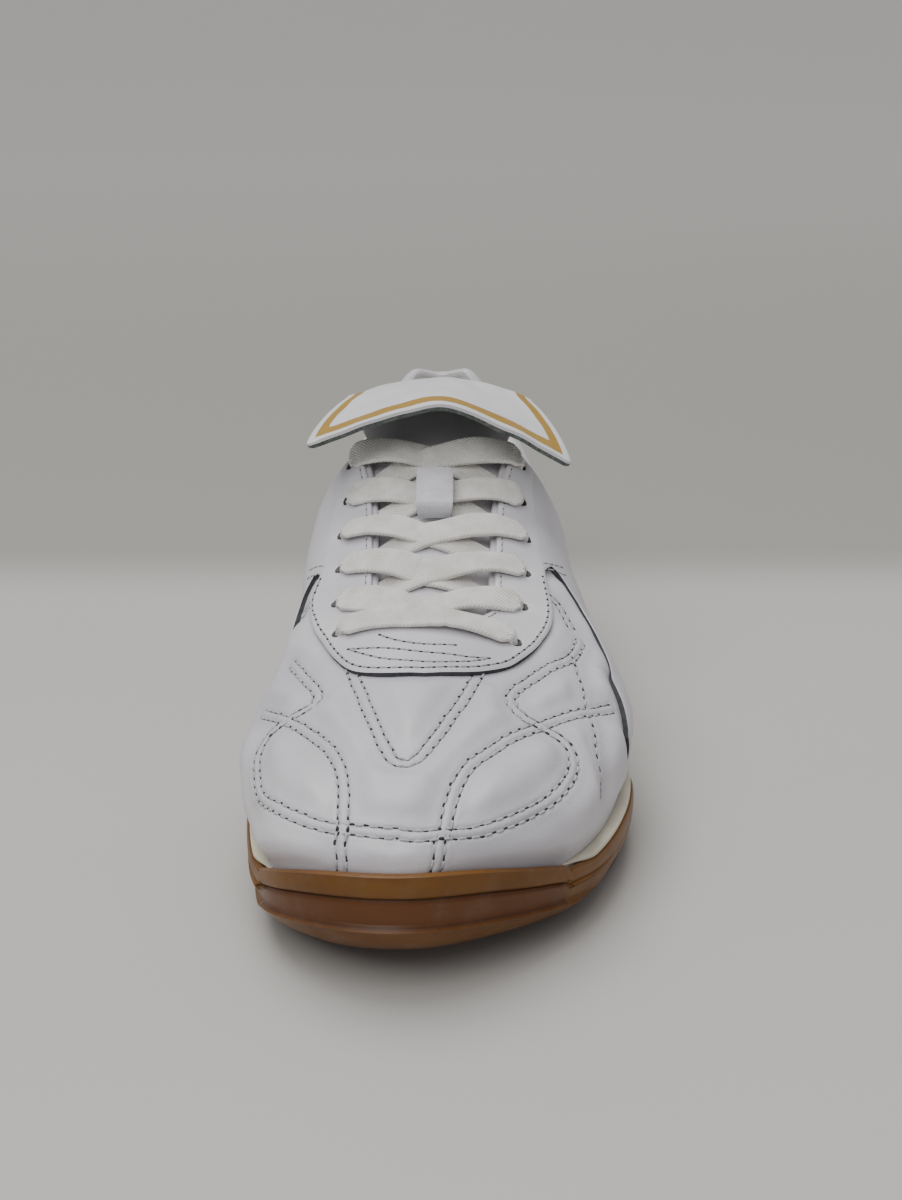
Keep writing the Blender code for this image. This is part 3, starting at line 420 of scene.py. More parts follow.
def hermite(start, start_slope, end, end_slope, t):
    """The cubic that leaves start and reaches end with these slopes."""
    return (
        (1 + 2 * t) * (1 - t) ** 2 * start
        + t * (1 - t) ** 2 * start_slope
        + t**2 * (3 - 2 * t) * end
        - t**2 * (1 - t) * end_slope
    )


ACROSS = ("medial", "lateral", "shoulder_medial", "shoulder_lateral", "edge")


def read(table, column, at):
    """A smooth curve through one column of a table, at shares of the length.

    It is level at both ends, apart from the columns named in ACROSS.
    """
    knots = angle_of(table["at"])
    values = table[column]
    slopes = np.gradient(values, knots)
    if column not in ACROSS:
        slopes[[0, -1]] = 0
    angle = angle_of(at)
    k = np.clip(np.searchsorted(knots, angle, side="right") - 1, 0, len(knots) - 2)
    step = knots[k + 1] - knots[k]
    t = (angle - knots[k]) / step
    return hermite(values[k], slopes[k] * step, values[k + 1], slopes[k + 1] * step, t)


def blend(values, t):
    """A smooth curve through evenly spaced values, for t from 0 at the first to 1 at the last."""
    slopes = np.gradient(values)
    reach = np.clip(t, 0, 1) * (len(values) - 1)
    k = np.clip(reach.astype(int), 0, len(values) - 2)
    return hermite(values[k], slopes[k], values[k + 1], slopes[k + 1], reach - k)


def ease(value, start, end):
    """0 before start and 1 after end, with a soft climb between them."""
    t = np.clip((value - start) / (end - start), 0, 1)
    return t * t * (3 - 2 * t)


def bell(value, middle, width):
    """1 at the middle, falling off as the exponential of minus the squared distance in widths."""
    return np.exp(-(((value - middle) / width) ** 2))


def unit(vectors):
    """Vectors scaled to a length of one."""
    return vectors / np.maximum(np.linalg.norm(vectors, axis=-1, keepdims=True), 1e-12)


def plan_point(side, at, inset):
    """x and y of the sole's plan on one side, set in along its own normal."""

    def outline(angle):
        x = read(PLAN, SIDE_NAME[side], place_of(angle)) * BALL_WIDTH
        return np.stack([x, SOLE_LENGTH * (0.5 - place_of(angle))], -1)

    angle = angle_of(at)
    step = 1e-3
    run = outline(np.clip(angle + step, 0, math.pi)) - outline(np.clip(angle - step, 0, math.pi))
    normal = unit(side * np.stack([-run[..., 1], run[..., 0]], -1))
    at_end = (at <= 0) | (at >= 1)
    normal = np.where(at_end[..., None], np.stack([0 * at, np.where(at <= 0, 1.0, -1.0)], -1), normal)
    return outline(angle) - np.asarray(inset)[..., None] * normal


def midsole_top(at):
    """Height of the midsole's top: a wedge from the heel to the ball, with a rise at the toe."""
    return MIDSOLE_BALL + (MIDSOLE_HEEL - MIDSOLE_BALL) * read(SOLE_SIDE, "midsole", at)


def half_gap(at):
    """Half the width of the throat and the collar, closing on a round end over the vamp."""
    t = np.clip((THROAT_END - at) / THROAT_ROUND, 0, 1)
    return read(SECTIONS, "edge", at) * BALL_WIDTH * np.sqrt(1 - (1 - t) ** 2)


def wall_samples(side, at, count=33):
    """Points along one wall from feather to edge, and how far along it each lies.

    Three cubics join the feather, the bulge, the shoulder and the edge, each with a set direction there.
    """
    feather = plan_point(side, at, FEATHER_INSET + 0 * at)
    bulge_in = read(SECTIONS, "bulge_in", at) * BALL_WIDTH
    spread = bell(at, SWELL_MIDDLE, SWELL_SPREAD)
    bulge = plan_point(side, at, bulge_in - SWELL[side] * spread)
    across_from = plan_point(-side, at, bulge_in - SWELL[-side] * spread)
    shoulder = "shoulder_" + SIDE_NAME[side]
    inward = np.where(at < 0.5, -1, 1) * INSTEP_HEIGHT
    edge = read(SECTIONS, "edge", at) * BALL_WIDTH
    gap = half_gap(at)
    places = [
        (feather[..., 0], feather[..., 1], midsole_top(at) + GAP),
        (bulge[..., 0], bulge[..., 1], read(SECTIONS, "bulge_z", at) * INSTEP_HEIGHT),
        (
            read(SECTIONS, shoulder, at) * BALL_WIDTH,
            bulge[..., 1] + inward * read(SECTIONS, "shoulder_lean", at),
            read(SECTIONS, "shoulder_z", at) * INSTEP_HEIGHT,
        ),
        (
            read(SECTIONS, "centre", at) * BALL_WIDTH + side * gap,
            (bulge[..., 1] + across_from[..., 1]) / 2 + inward * read(SECTIONS, "edge_lean", at),
            read(SECTIONS, "edge_z", at) * INSTEP_HEIGHT + (edge**2 - gap**2) / (2 * CROWN_RADIUS),
        ),
    ]
    knots = np.stack([np.stack(place, -1) for place in places], -2)
    open_turn = read(SECTIONS, "turn", at)
    closed = 1 - gap / np.maximum(edge, 1e-6)
    turn = np.radians(np.where(edge > 1e-5, open_turn + (90 - open_turn) * closed, open_turn))
    at_tip = np.maximum(ease(at, 0.975, 1.0), 1 - ease(at, 0.0, 0.03))[..., None]
    lean = np.stack([-side * np.sin(turn), 0 * at, np.cos(turn)], -1)
    edge_way = lean * (1 - at_tip) + unit(knots[..., 3, :] - knots[..., 2, :]) * at_tip
    up = np.broadcast_to(np.array([0.0, 0.0, 1.0]), lean.shape)
    leave_feather = unit(knots[..., 1, :] - knots[..., 0, :])
    over_shoulder = unit(knots[..., 3, :] - knots[..., 1, :])
    ways = np.stack([leave_feather, up, over_shoulder, edge_way], -2)
    chord = np.linalg.norm(np.diff(knots, axis=-2), axis=-1)[..., None]
    t = np.linspace(0, 1, (count - 1) // 3 + 1)[:, None]
    runs = []
    for k in range(3):
        reach = chord[..., k, None, :]
        leave, arrive = ways[..., k, None, :] * reach, ways[..., k + 1, None, :] * reach
        run = hermite(knots[..., k, None, :], leave, knots[..., k + 1, None, :], arrive, t)
        runs.append(run if k == 0 else run[..., 1:, :])
    points = np.concatenate(runs, -2)
    steps = np.linalg.norm(np.diff(points, axis=-2), axis=-1)
    length = np.concatenate([0 * steps[..., :1], np.cumsum(steps, -1)], -1)
    return points, length


def wall_point(side, at, v):
    """The upper's outer face on one side, at a share v of the way from the feather to the edge."""
    at, v = np.asarray(at, float), np.asarray(v, float)
    points, length = wall_samples(side, at)
    shape = np.broadcast_shapes(at.shape, v.shape)
    points = np.broadcast_to(points, shape + points.shape[-2:])
    length = np.broadcast_to(length, shape + length.shape[-1:])
    reach = v * length[..., -1]
    k = np.clip((length <= reach[..., None]).sum(-1) - 1, 0, length.shape[-1] - 2)
    low = np.take_along_axis(length, k[..., None], -1)[..., 0]
    high = np.take_along_axis(length, k[..., None] + 1, -1)[..., 0]
    t = ((reach - low) / (high - low))[..., None]
    near = np.take_along_axis(points, k[..., None, None], -2)[..., 0, :]
    far = np.take_along_axis(points, k[..., None, None] + 1, -2)[..., 0, :]
    return near * (1 - t) + far * t


def wall_length(side, at):
    """Length of the wall's section from the feather to the edge."""
    return wall_samples(side, np.asarray(at, float))[1][..., -1]


def wall_normal(side, at, v):
    """The direction out of the upper, straight up or straight along where the two sides meet."""
    at, v = np.asarray(at, float), np.asarray(v, float)
    angle = angle_of(at)
    step = 4e-3
    ahead = place_of(np.clip(angle + step, 0, math.pi))
    behind = place_of(np.clip(angle - step, 0, math.pi))
    run = wall_point(side, ahead, v) - wall_point(side, behind, v)
    climb = wall_point(side, at, np.clip(v + step, 0, 1)) - wall_point(side, at, np.clip(v - step, 0, 1))
    normal = side * np.cross(climb, run)
    at, v = np.broadcast_arrays(at, v)
    crown = np.stack([0 * at, run[..., 2], -run[..., 1]], -1)
    normal = np.where(((v >= 1) & (at >= THROAT_END - 1e-9))[..., None], crown, normal)
    tip = np.stack([0 * at, climb[..., 2], -climb[..., 1]], -1)
    normal = np.where((at <= 0)[..., None], tip, normal)
    normal = np.where((at >= 1)[..., None], -tip, normal)
    return unit(normal)


def instep_surface(at, across):
    """The shoe's top at a distance across from the centre line: a round bridge over the throat, then
    leather."""
    at, across = np.broadcast_arrays(np.asarray(at, float), np.asarray(across, float))
    gap = half_gap(at)
    found = np.empty(at.shape + (3,))
    for side in (MEDIAL, LATERAL):
        beyond = np.maximum(np.abs(across) - gap, 0)
        v = np.clip(1 - beyond / wall_length(side, at), 0, 1)
        edge = wall_point(side, at, 1 + 0 * at)
        height = edge[..., 2] + (gap**2 - across**2) / (2 * CROWN_RADIUS)
        bridge = np.stack([read(SECTIONS, "centre", at) * BALL_WIDTH + across, edge[..., 1], height], -1)
        point = np.where((np.abs(across) < gap)[..., None], bridge, wall_point(side, at, v))
        found = np.where((across * side >= 0)[..., None], point, found)
    return found


def instep(at, across, height):
    """A point at a height above the shoe's top, along the surface's own normal."""
    at, across, height = np.broadcast_arrays(*(np.asarray(a, float) for a in (at, across, height)))
    run = instep_surface(at + 0.004, across) - instep_surface(at - 0.004, across)
    over = instep_surface(at, across + 0.001) - instep_surface(at, across - 0.001)
    return instep_surface(at, across) + unit(np.cross(run, over)) * height[..., None]


def eyestay_outer(side, at):
    """How far across from the centre line a facing's outer edge lies."""
    return np.abs(np.interp(at, EYESTAY["at"], EYESTAY[SIDE_NAME[side]]))


def eyelet_points(height):
    """The middles of all twelve eyelets at a height above the leather."""
    at = np.concatenate([EYELETS["medial_at"], EYELETS["lateral_at"]])
    return instep(at, np.concatenate([EYELETS["medial"], EYELETS["lateral"]]), height)


def beyond_padding(at):
    """0 along the padded collar and 1 in front of it."""
    return ease(at, *COLLAR_FRONT)


def quarter_top(side, at):
    """The quarter's upper border as a share of the wall: below the collar, then beside the facing."""
    beside = 1 - (eyestay_outer(side, at) + 0.0009 - half_gap(at)) / wall_length(side, at)
    along_facing = ease(at, *FACING_START)
    return QUARTER_TOP * (1 - along_facing) + beside * along_facing


def flush_share(at):
    """1 along the facings where they run on into the quarter without an edge, 0 further down."""
    return 1 - ease(at, *FLUSH_END)


def quarter_front(side, v):
    """The place along the sole of the quarter's front edge, at a share of the way up the wall."""
    return np.interp(v, QUARTER_FRONT["v"], QUARTER_FRONT[SIDE_NAME[side]])


# Making meshes


def grid_faces(rows, cols, start):
    """Corner numbers of every cell of a grid of points that is stored row by row."""
    corner = start + np.arange(rows - 1)[:, None] * cols + np.arange(cols - 1)
    return np.stack([corner, corner + 1, corner + cols + 1, corner + cols], -1).reshape(-1, 4)


def read_points(items, key, width=3):
    """One property of many mesh items, as rows of width numbers or as a flat array."""
    values = np.empty(len(items) * width, np.float32)
    items.foreach_get(key, values)
    return values.reshape(-1, width) if width > 1 else values


def put(items, key, values, kind=np.float32):
    """Sets one property of many mesh items from an array."""
    items.foreach_set(key, np.asarray(values).astype(kind).ravel())


def put_field(data, name, values):
    """A named number at each point of a mesh."""
    layer = data.attributes.get(name) or data.attributes.new(name, "FLOAT", "POINT")
    put(layer.data, "value", values)


def piece(name, parts, nodes=(), fields=None, relief=None, crease=40):
    """A mesh from (grid, material) parts, welded where they share borders, with its normals out.

    fields are named numbers that each grid carries at its points. relief moves every point along its own
    normal by a height worked out from its place and those numbers.
    """
    materials = list(dict.fromkeys(material for _, material in parts))
    points = np.concatenate([grid.reshape(-1, 3) for grid, _ in parts]) + CENTRE_SHIFT
    starts = np.cumsum([0] + [grid[..., 0].size for grid, _ in parts])
    cells = [grid_faces(*grid.shape[:2], start) for start, (grid, _) in zip(starts, parts)]
    owner = [np.full(len(found), materials.index(material)) for found, (_, material) in zip(cells, parts)]
    faces = np.concatenate(cells)
    data = bpy.data.meshes.new(name)
    data.vertices.add(len(points))
    put(data.vertices, "co", points)
    data.loops.add(faces.size)
    put(data.loops, "vertex_index", faces, np.int32)
    data.polygons.add(len(faces))
    put(data.polygons, "loop_start", np.arange(0, faces.size, 4), np.int32)
    put(data.polygons, "material_index", np.concatenate(owner), np.int32)
    for field, values in (fields or {}).items():
        flat = [np.broadcast_to(value, grid.shape[:2]).ravel() for value, (grid, _) in zip(values, parts)]
        put_field(data, field, np.concatenate(flat))
    data.update(calc_edges=True)
    mesh = bmesh.new()
    mesh.from_mesh(data)
    bmesh.ops.remove_doubles(mesh, verts=mesh.verts, dist=WELD)
    bmesh.ops.dissolve_degenerate(mesh, edges=mesh.edges, dist=1e-7)
    bmesh.ops.recalc_face_normals(mesh, faces=mesh.faces)
    mesh.to_mesh(data)
    mesh.free()
    if relief:
        place = read_points(data.vertices, "co")
        out = read_points(data.vertex_normals, "vector")
        held = {key: read_points(data.attributes[key].data, "value", 1) for key in fields}
        height, extra = relief(place - CENTRE_SHIFT, held)
        put(data.vertices, "co", place + out * height[:, None])
        for field, values in extra.items():
            put_field(data, field, values)
    put(data.polygons, "use_smooth", np.ones(len(data.polygons)), bool)
    data.set_sharp_from_angle(angle=math.radians(crease))
    data.update()
    for material in materials:
        data.materials.append(bpy.data.materials[material])
    found = bpy.data.objects.new(name, data)
    bpy.context.scene.collection.objects.link(found)
    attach(found, "root")
    if nodes:
        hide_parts(*nodes)
    return found


def surface_of(found):
    """A tree of a piece's faces, for laying other things on it."""
    mesh = bmesh.new()
    mesh.from_mesh(found.data)
    tree = BVHTree.FromBMesh(mesh)
    mesh.free()
    return tree


def lay_on(tree, points):
    """Each point moved to the nearest place on a piece, with the direction out of the piece there."""
    hits = [tree.find_nearest(Vector(point)) for point in points + CENTRE_SHIFT]
    return np.array([hit[0][:] for hit in hits]) - CENTRE_SHIFT, np.array([hit[1][:] for hit in hits])


def line_distance(points, lines):
    """Distance of each point from the nearest of several lines of straight steps."""
    nearest = np.full(len(points), 1.0)
    for line in lines:
        for corner, run in zip(line[:-1], np.diff(line, axis=0)):
            away = points - corner
            t = np.clip(away @ run / (run @ run), 0, 1)
            away = away - t[:, None] * run
            nearest = np.minimum(nearest, np.einsum("ij,ij->i", away, away))
    return np.sqrt(nearest)


def nearness(points, lines, step, reach):
    """About 1 on the lines and 0 away from them: the sum over their steps of exp(-(distance / reach)
    squared)."""
    corners = np.concatenate(lines)
    total = np.zeros(len(points))
    for start in range(0, len(points), 20000):
        part = points[start : start + 20000]
        squared = (part**2).sum(1)[:, None] - 2 * part @ corners.T + (corners**2).sum(1)
        total[start : start + 20000] = np.exp(-squared / reach**2).sum(1)
    return total * step / (math.sqrt(math.pi) * reach)


def waves(points, seed, longest, count=14):
    """A soft unevenness between about -1 and 1: a sum of plane waves whose lengths run down from the
    longest."""
    dice = np.random.default_rng(seed)
    total = 0
    for k in range(count):
        way = unit(dice.normal(size=3))
        length = longest * dice.uniform(0.35, 1.0)
        total = total + np.sin(points @ way * (2 * math.pi / length) + dice.uniform(0, 2 * math.pi))
    return total / math.sqrt(count)


def through(knots, step, height=0.0):
    """Even steps along a smooth curve through places on the instep: cubics whose slopes join the
    neighbours."""
    knots = np.array(knots, float) * (1, MM)
    reach = run_length(knots * (SOLE_LENGTH, 1))
    slopes = np.gradient(knots, reach, axis=0)
    fine = np.linspace(0, reach[-1], int(reach[-1] / (step / 3)) + 2)
    k = np.clip(np.searchsorted(reach, fine, side="right") - 1, 0, len(reach) - 2)
    span = (reach[k + 1] - reach[k])[:, None]
    t = (fine - reach[k])[:, None] / span
    curve = hermite(knots[k], slopes[k] * span, knots[k + 1], slopes[k + 1] * span, t)
    return even_steps(instep(curve[:, 0], curve[:, 1], height), step)


def run_length(path):
    """How far along a path each of its points lies."""
    return np.concatenate([[0], np.cumsum(np.linalg.norm(np.diff(path, axis=0), axis=1))])


def even_steps(path, step):
    """A path's points at even steps of its own length."""
    length = run_length(path)
    count = max(int(round(length[-1] / step)), 1) + 1
    reach = np.linspace(0, length[-1], count)
    return np.stack([np.interp(reach, length, path[:, axis]) for axis in range(3)], 1)


def sweep_rings(centre, side, up, half_width, half_wall, profile):
    """A closed section carried along a path: each ring is centre + side * x * half width + up * z * half
    wall."""
    x, z = profile[:, 0], profile[:, 1]
    wide, thick = np.asarray(half_width)[..., None, None], np.asarray(half_wall)[..., None, None]
    return centre[:, None] + side[:, None] * x[:, None] * wide + up[:, None] * z[:, None] * thick


# Finishes


def feed(tree, socket, value):
    """A link into a socket, or its own constant."""
    if isinstance(value, bpy.types.NodeSocket):
        tree.links.new(value, socket)
    else:
        socket.default_value = value


def add(tree, kind, inputs=None, **settings):
    """A node with its settings and the constants or links on its inputs."""
    found = tree.nodes.new(kind)
    for key, value in settings.items():
        setattr(found, key, value)
    for key, value in (inputs or {}).items():
        feed(tree, found.inputs[key], value)
    return found


def maths(tree, how, *values):
    """A sum, product or other operation on numbers."""
    return add(tree, "ShaderNodeMath", dict(enumerate(values)), operation=how).outputs[0]


def mapped(tree, value, low, high, to_low=0.0, to_high=1.0):
    """A value carried from one range to another, softly at both ends."""
    inputs = {"Value": value, "From Min": low, "From Max": high, "To Min": to_low, "To Max": to_high}
    return add(tree, "ShaderNodeMapRange", inputs, interpolation_type="SMOOTHSTEP").outputs["Result"]


def mixed(tree, factor, first, second):
    """Two colours mixed by a factor."""
    found = tree.nodes.new("ShaderNodeMix")
    found.data_type = "RGBA"
    for key, kind, value in (("Factor", "VALUE", factor), ("A", "RGBA", first), ("B", "RGBA", second)):
        feed(tree, next(s for s in found.inputs if s.name == key and s.type == kind), value)
    return next(s for s in found.outputs if s.type == "RGBA")


def effect(name, inputs, outputs):
    """An empty node group with named number inputs and outputs."""
    tree = bpy.data.node_groups.new(name, "ShaderNodeTree")
    for key, value in inputs.items():
        tree.interface.new_socket(key, in_out="INPUT", socket_type="NodeSocketFloat").default_value = value
    for key in outputs:
        tree.interface.new_socket(key, in_out="OUTPUT", socket_type="NodeSocketFloat")
    return tree, tree.nodes.new("NodeGroupInput").outputs, tree.nodes.new("NodeGroupOutput").inputs


def place_effect(tree, name, **values):
    """One of the shared effects in a material, with its inputs given by name."""
    found = tree.nodes.new("ShaderNodeGroup")
    found.node_tree = bpy.data.node_groups[name]
    for key, value in values.items():
        feed(tree, found.inputs[key], value)
    return found.outputs


def noise(tree, where, scale, detail=2.0, rough=0.5):
    """Soft noise between 0 and 1."""
    inputs = {"Vector": where, "Scale": scale, "Detail": detail, "Roughness": rough}
    return add(tree, "ShaderNodeTexNoise", inputs).outputs["Fac"]


def build_effects():
    """Leather grain, cloth weave and loose dirt, each used by several finishes."""
    tree, given, out = effect("leather_grain", {"Pebble": 900.0, "Fold": 60.0}, ("Height", "Tone", "Fine"))
    where = tree.nodes.new("ShaderNodeTexCoord").outputs["Object"]
    pebbles = {"Vector": where, "Scale": given["Pebble"]}
    cell = add(tree, "ShaderNodeTexVoronoi", pebbles, feature="SMOOTH_F1").outputs["Distance"]
    pores = noise(tree, where, maths(tree, "MULTIPLY", given["Pebble"], 2.1), 2.0, 0.6)
    fine = maths(tree, "MULTIPLY_ADD", cell, 0.5, maths(tree, "MULTIPLY", pores, 0.4))
    tree.links.new(fine, out["Fine"])
    tree.links.new(noise(tree, where, given["Fold"], 4.0, 0.55), out["Height"])
    tree.links.new(noise(tree, where, 28.0, 3.0, 0.5), out["Tone"])

    inputs = {"Across": 0.0, "Along": 0.0, "Pitch": 0.001}
    tree, given, out = effect("cloth_weave", inputs, ("Height", "Tone"))
    threads = []
    for how in ("ADD", "SUBTRACT"):
        slant = maths(tree, "DIVIDE", maths(tree, how, given["Across"], given["Along"]), given["Pitch"])
        threads.append(maths(tree, "ABSOLUTE", maths(tree, "SINE", maths(tree, "MULTIPLY", slant, math.pi))))
    tree.links.new(maths(tree, "MULTIPLY", *threads), out["Height"])
    where = tree.nodes.new("ShaderNodeTexCoord").outputs["Object"]
    tree.links.new(noise(tree, where, 160.0, 4.0, 0.6), out["Tone"])

    tree, given, out = effect("loose_dirt", {"Scale": 70.0, "Amount": 0.2}, ("Mask",))
    where = tree.nodes.new("ShaderNodeTexCoord").outputs["Object"]
    patch = noise(tree, where, given["Scale"], 6.0, 0.65)
    tree.links.new(maths(tree, "MULTIPLY", mapped(tree, patch, 0.45, 0.75), given["Amount"]), out["Mask"])


def finish_of(
    name, roughness, coat=0.0, coat_rough=0.2, specular=0.5, sheen=0.0, subsurface=0.0, radius=None
):
    """A material's tree, its shader and its object coordinates, with the shader's own constants set."""
    found = bpy.data.materials.new(name)
    found.use_nodes = True
    tree = found.node_tree
    shader = next(node for node in tree.nodes if node.type == "BSDF_PRINCIPLED")
    for key, value in {
        "Roughness": roughness,
        "Coat Weight": coat,
        "Coat Roughness": coat_rough,
        "Specular IOR Level": specular,
        "Sheen Weight": sheen,
        "Subsurface Weight": subsurface,
    }.items():
        shader.inputs[key].default_value = value
    if radius:
        shader.inputs["Subsurface Radius"].default_value = radius
        shader.inputs["Subsurface Scale"].default_value = 1.0
    return tree, shader, tree.nodes.new("ShaderNodeTexCoord").outputs["Object"]


def bump(tree, shader, *layers):
    """Bump layers on top of each other, each a height, a depth in metres and a strength."""
    normal = None
    for height, depth, strength in layers:
        inputs = {"Height": height, "Distance": depth, "Strength": strength}
        if normal is not None:
            inputs["Normal"] = normal
        normal = add(tree, "ShaderNodeBump", inputs).outputs["Normal"]
    tree.links.new(normal, shader.inputs["Normal"])


def field(tree, name):
    """A piece's own named number, as a socket."""
    return add(tree, "ShaderNodeAttribute", attribute_name=name).outputs["Fac"]


def rgb(*values):
    """A colour given as it looks on a screen, from 0 to 255, as the linear numbers that nodes hold."""
    share = np.array(values[:3], float) / 255
    linear = np.where(share <= 0.04045, share / 12.92, ((share + 0.055) / 1.055) ** 2.4)
    return (*linear, 1.0)


def build_leather(name, light, shade, pebble=1500.0, fold=90.0, roughness=0.42, quilted=False, eyelet_shade=False):
    """Soft white leather: fine grain, slow folds, a little tone, and puckers beside the seams of the
    vamp; painted shade darkens the dips beside the seams, the grooves of the stitch rows and the eyelet
    holes."""
    tree, shader, where = finish_of(name, roughness, coat=0.12, coat_rough=0.32, specular=0.42)
    grain = place_effect(tree, "leather_grain", Pebble=pebble, Fold=fold)
    dirt = place_effect(tree, "loose_dirt", Scale=46.0, Amount=0.16)
    colour = mixed(tree, mapped(tree, grain["Tone"], 0.3, 0.7), light, shade)
    colour = mixed(tree, dirt["Mask"], colour, rgb(176, 174, 170))
    layers = [(grain["Height"], 0.0009, 0.35), (grain["Fine"], 0.00022, 0.35)]
    if quilted:
        near, row = field(tree, "seam"), field(tree, "row")
        pucker = noise(tree, where, 330.0, 3.0, 0.55)
        layers.append((maths(tree, "MULTIPLY", pucker, near), 0.0009, 0.6))
        # Painted shade: a darker tone in the dips beside the seams, and a darker grey along the grooves
        # under the stitch rows
        colour = mixed(tree, maths(tree, "MULTIPLY", near, 0.10), colour, rgb(150, 150, 156))
        colour = mixed(tree, maths(tree, "MULTIPLY", row, 0.16), colour, rgb(120, 119, 122))
    if eyelet_shade:
        # Painted shade: the eyelet holes are not cut; the leather inside each rim is painted near black
        hole_shade = mapped(tree, field(tree, "eyelet"), EYELET_RADIUS * 0.925, EYELET_RADIUS, 1.0, 0.0)
        colour = mixed(tree, hole_shade, colour, rgb(38, 37, 36))
    tree.links.new(colour, shader.inputs["Base Color"])
    dullness = mapped(tree, grain["Tone"], 0.2, 0.8, roughness - 0.05, roughness + 0.08)
    tree.links.new(dullness, shader.inputs["Roughness"])
    bump(tree, shader, *layers)


def build_cloth(name, light, shade, pitch, roughness=0.85, sheen=0.25, own_run=False, depth=0.0003):
    """Woven cloth: a slanted weave along the piece's own length, or along the object's axes, with a little
    tone and painted shade in the weave's hollows."""
    tree, shader, where = finish_of(name, roughness, specular=0.25, sheen=sheen)
    if own_run:
        across, along = field(tree, "across"), field(tree, "along")
    else:
        axes = add(tree, "ShaderNodeSeparateXYZ", {0: where}).outputs
        across, along = maths(tree, "ADD", axes["X"], axes["Z"]), axes["Y"]
    weave = place_effect(tree, "cloth_weave", Across=across, Along=along, Pitch=pitch)
    colour = mixed(tree, mapped(tree, weave["Tone"], 0.3, 0.7), light, shade)
    # Painted shade: the weave's hollows are darkened towards the shade tone
    colour = mixed(tree, mapped(tree, weave["Height"], 0.0, 0.5, 0.35, 0.0), colour, shade)
    tree.links.new(colour, shader.inputs["Base Color"])
    fibre = noise(tree, where, 1800.0, 2.0, 0.6)
    bump(tree, shader, (weave["Height"], depth, 0.6), (fibre, 0.0002, 0.4))


def build_rubber(name, light, deep, roughness, subsurface, radius, panel=False):
    """Moulded rubber or foam: slow mottle, fine skin, dust in patches, a deeper tone with painted shade in
    the bumper's panel, and painted shade along the panel's groove and ridge and low on the outsole's wall."""
    tree, shader, where = finish_of(
        name, roughness, coat=0.04, coat_rough=0.3, specular=0.30, subsurface=subsurface, radius=radius
    )
    mottle = noise(tree, where, 40.0, 5.0, 0.6)
    dirt = place_effect(tree, "loose_dirt", Scale=110.0, Amount=0.22)
    colour = mixed(tree, mapped(tree, mottle, 0.3, 0.7), light, deep)
    if panel:
        # Painted shade: panel darkens the bumper's recessed panel, partly its own deeper tone; groove
        # darkens the panel's groove and ridge and the wall's lowest fifth
        colour = mixed(tree, maths(tree, "MULTIPLY", field(tree, "panel"), 0.8), colour, rgb(98, 57, 28))
        colour = mixed(tree, maths(tree, "MULTIPLY", field(tree, "groove"), 0.75), colour, rgb(42, 23, 12))
    colour = mixed(tree, dirt["Mask"], colour, mixed(tree, 0.5, colour, rgb(150, 140, 128)))
    tree.links.new(colour, shader.inputs["Base Color"])
    dullness = mapped(tree, mottle, 0.2, 0.8, roughness - 0.06, roughness + 0.1)
    tree.links.new(dullness, shader.inputs["Roughness"])
    skin = noise(tree, where, 1400.0, 3.0, 0.6)
    bump(tree, shader, (mottle, 0.0008, 0.25), (skin, 0.00015, 0.35))


def build_flap_leather():
    """The flap's face: white leather with one gold line that runs beside its edges."""
    tree, shader, where = finish_of("flap_leather", 0.40, coat=0.15, coat_rough=0.3, specular=0.42)
    grain = place_effect(tree, "leather_grain", Pebble=1500.0, Fold=80.0)
    colour = mixed(tree, mapped(tree, grain["Tone"], 0.3, 0.7), rgb(236, 236, 236), rgb(224, 225, 228))
    ragged = maths(tree, "MULTIPLY", maths(tree, "SUBTRACT", noise(tree, where, 900.0, 2.0), 0.5), 0.0004)
    edge = maths(tree, "ADD", field(tree, "edge"), ragged)
    away = maths(tree, "ABSOLUTE", maths(tree, "SUBTRACT", edge, GOLD_LINE_IN))
    gold = mapped(tree, away, GOLD_LINE_WIDTH / 2 - 0.00012, GOLD_LINE_WIDTH / 2 + 0.00012, 1.0, 0.0)
    foil = mixed(tree, noise(tree, where, 500.0, 3.0), rgb(190, 150, 44), rgb(164, 124, 30))
    tree.links.new(mixed(tree, gold, colour, foil), shader.inputs["Base Color"])
    tree.links.new(mapped(tree, gold, 0.0, 1.0, 0.42, 0.34), shader.inputs["Roughness"])
    bump(tree, shader, (grain["Height"], 0.0008, 0.3), (grain["Fine"], 0.0002, 0.3), (gold, 0.0001, 0.3))


def build_plain(name, light, shade, roughness, scale=300.0, depth=0.0002, sheen=0.0):
    """A small trim finish: two close tones and a fine uneven skin."""
    tree, shader, where = finish_of(name, roughness, specular=0.35, sheen=sheen)
    grain = noise(tree, where, scale, 4.0, 0.6)
    tree.links.new(mixed(tree, mapped(tree, grain, 0.3, 0.7), light, shade), shader.inputs["Base Color"])
    bump(tree, shader, (noise(tree, where, scale * 4, 3.0, 0.6), depth, 0.5))


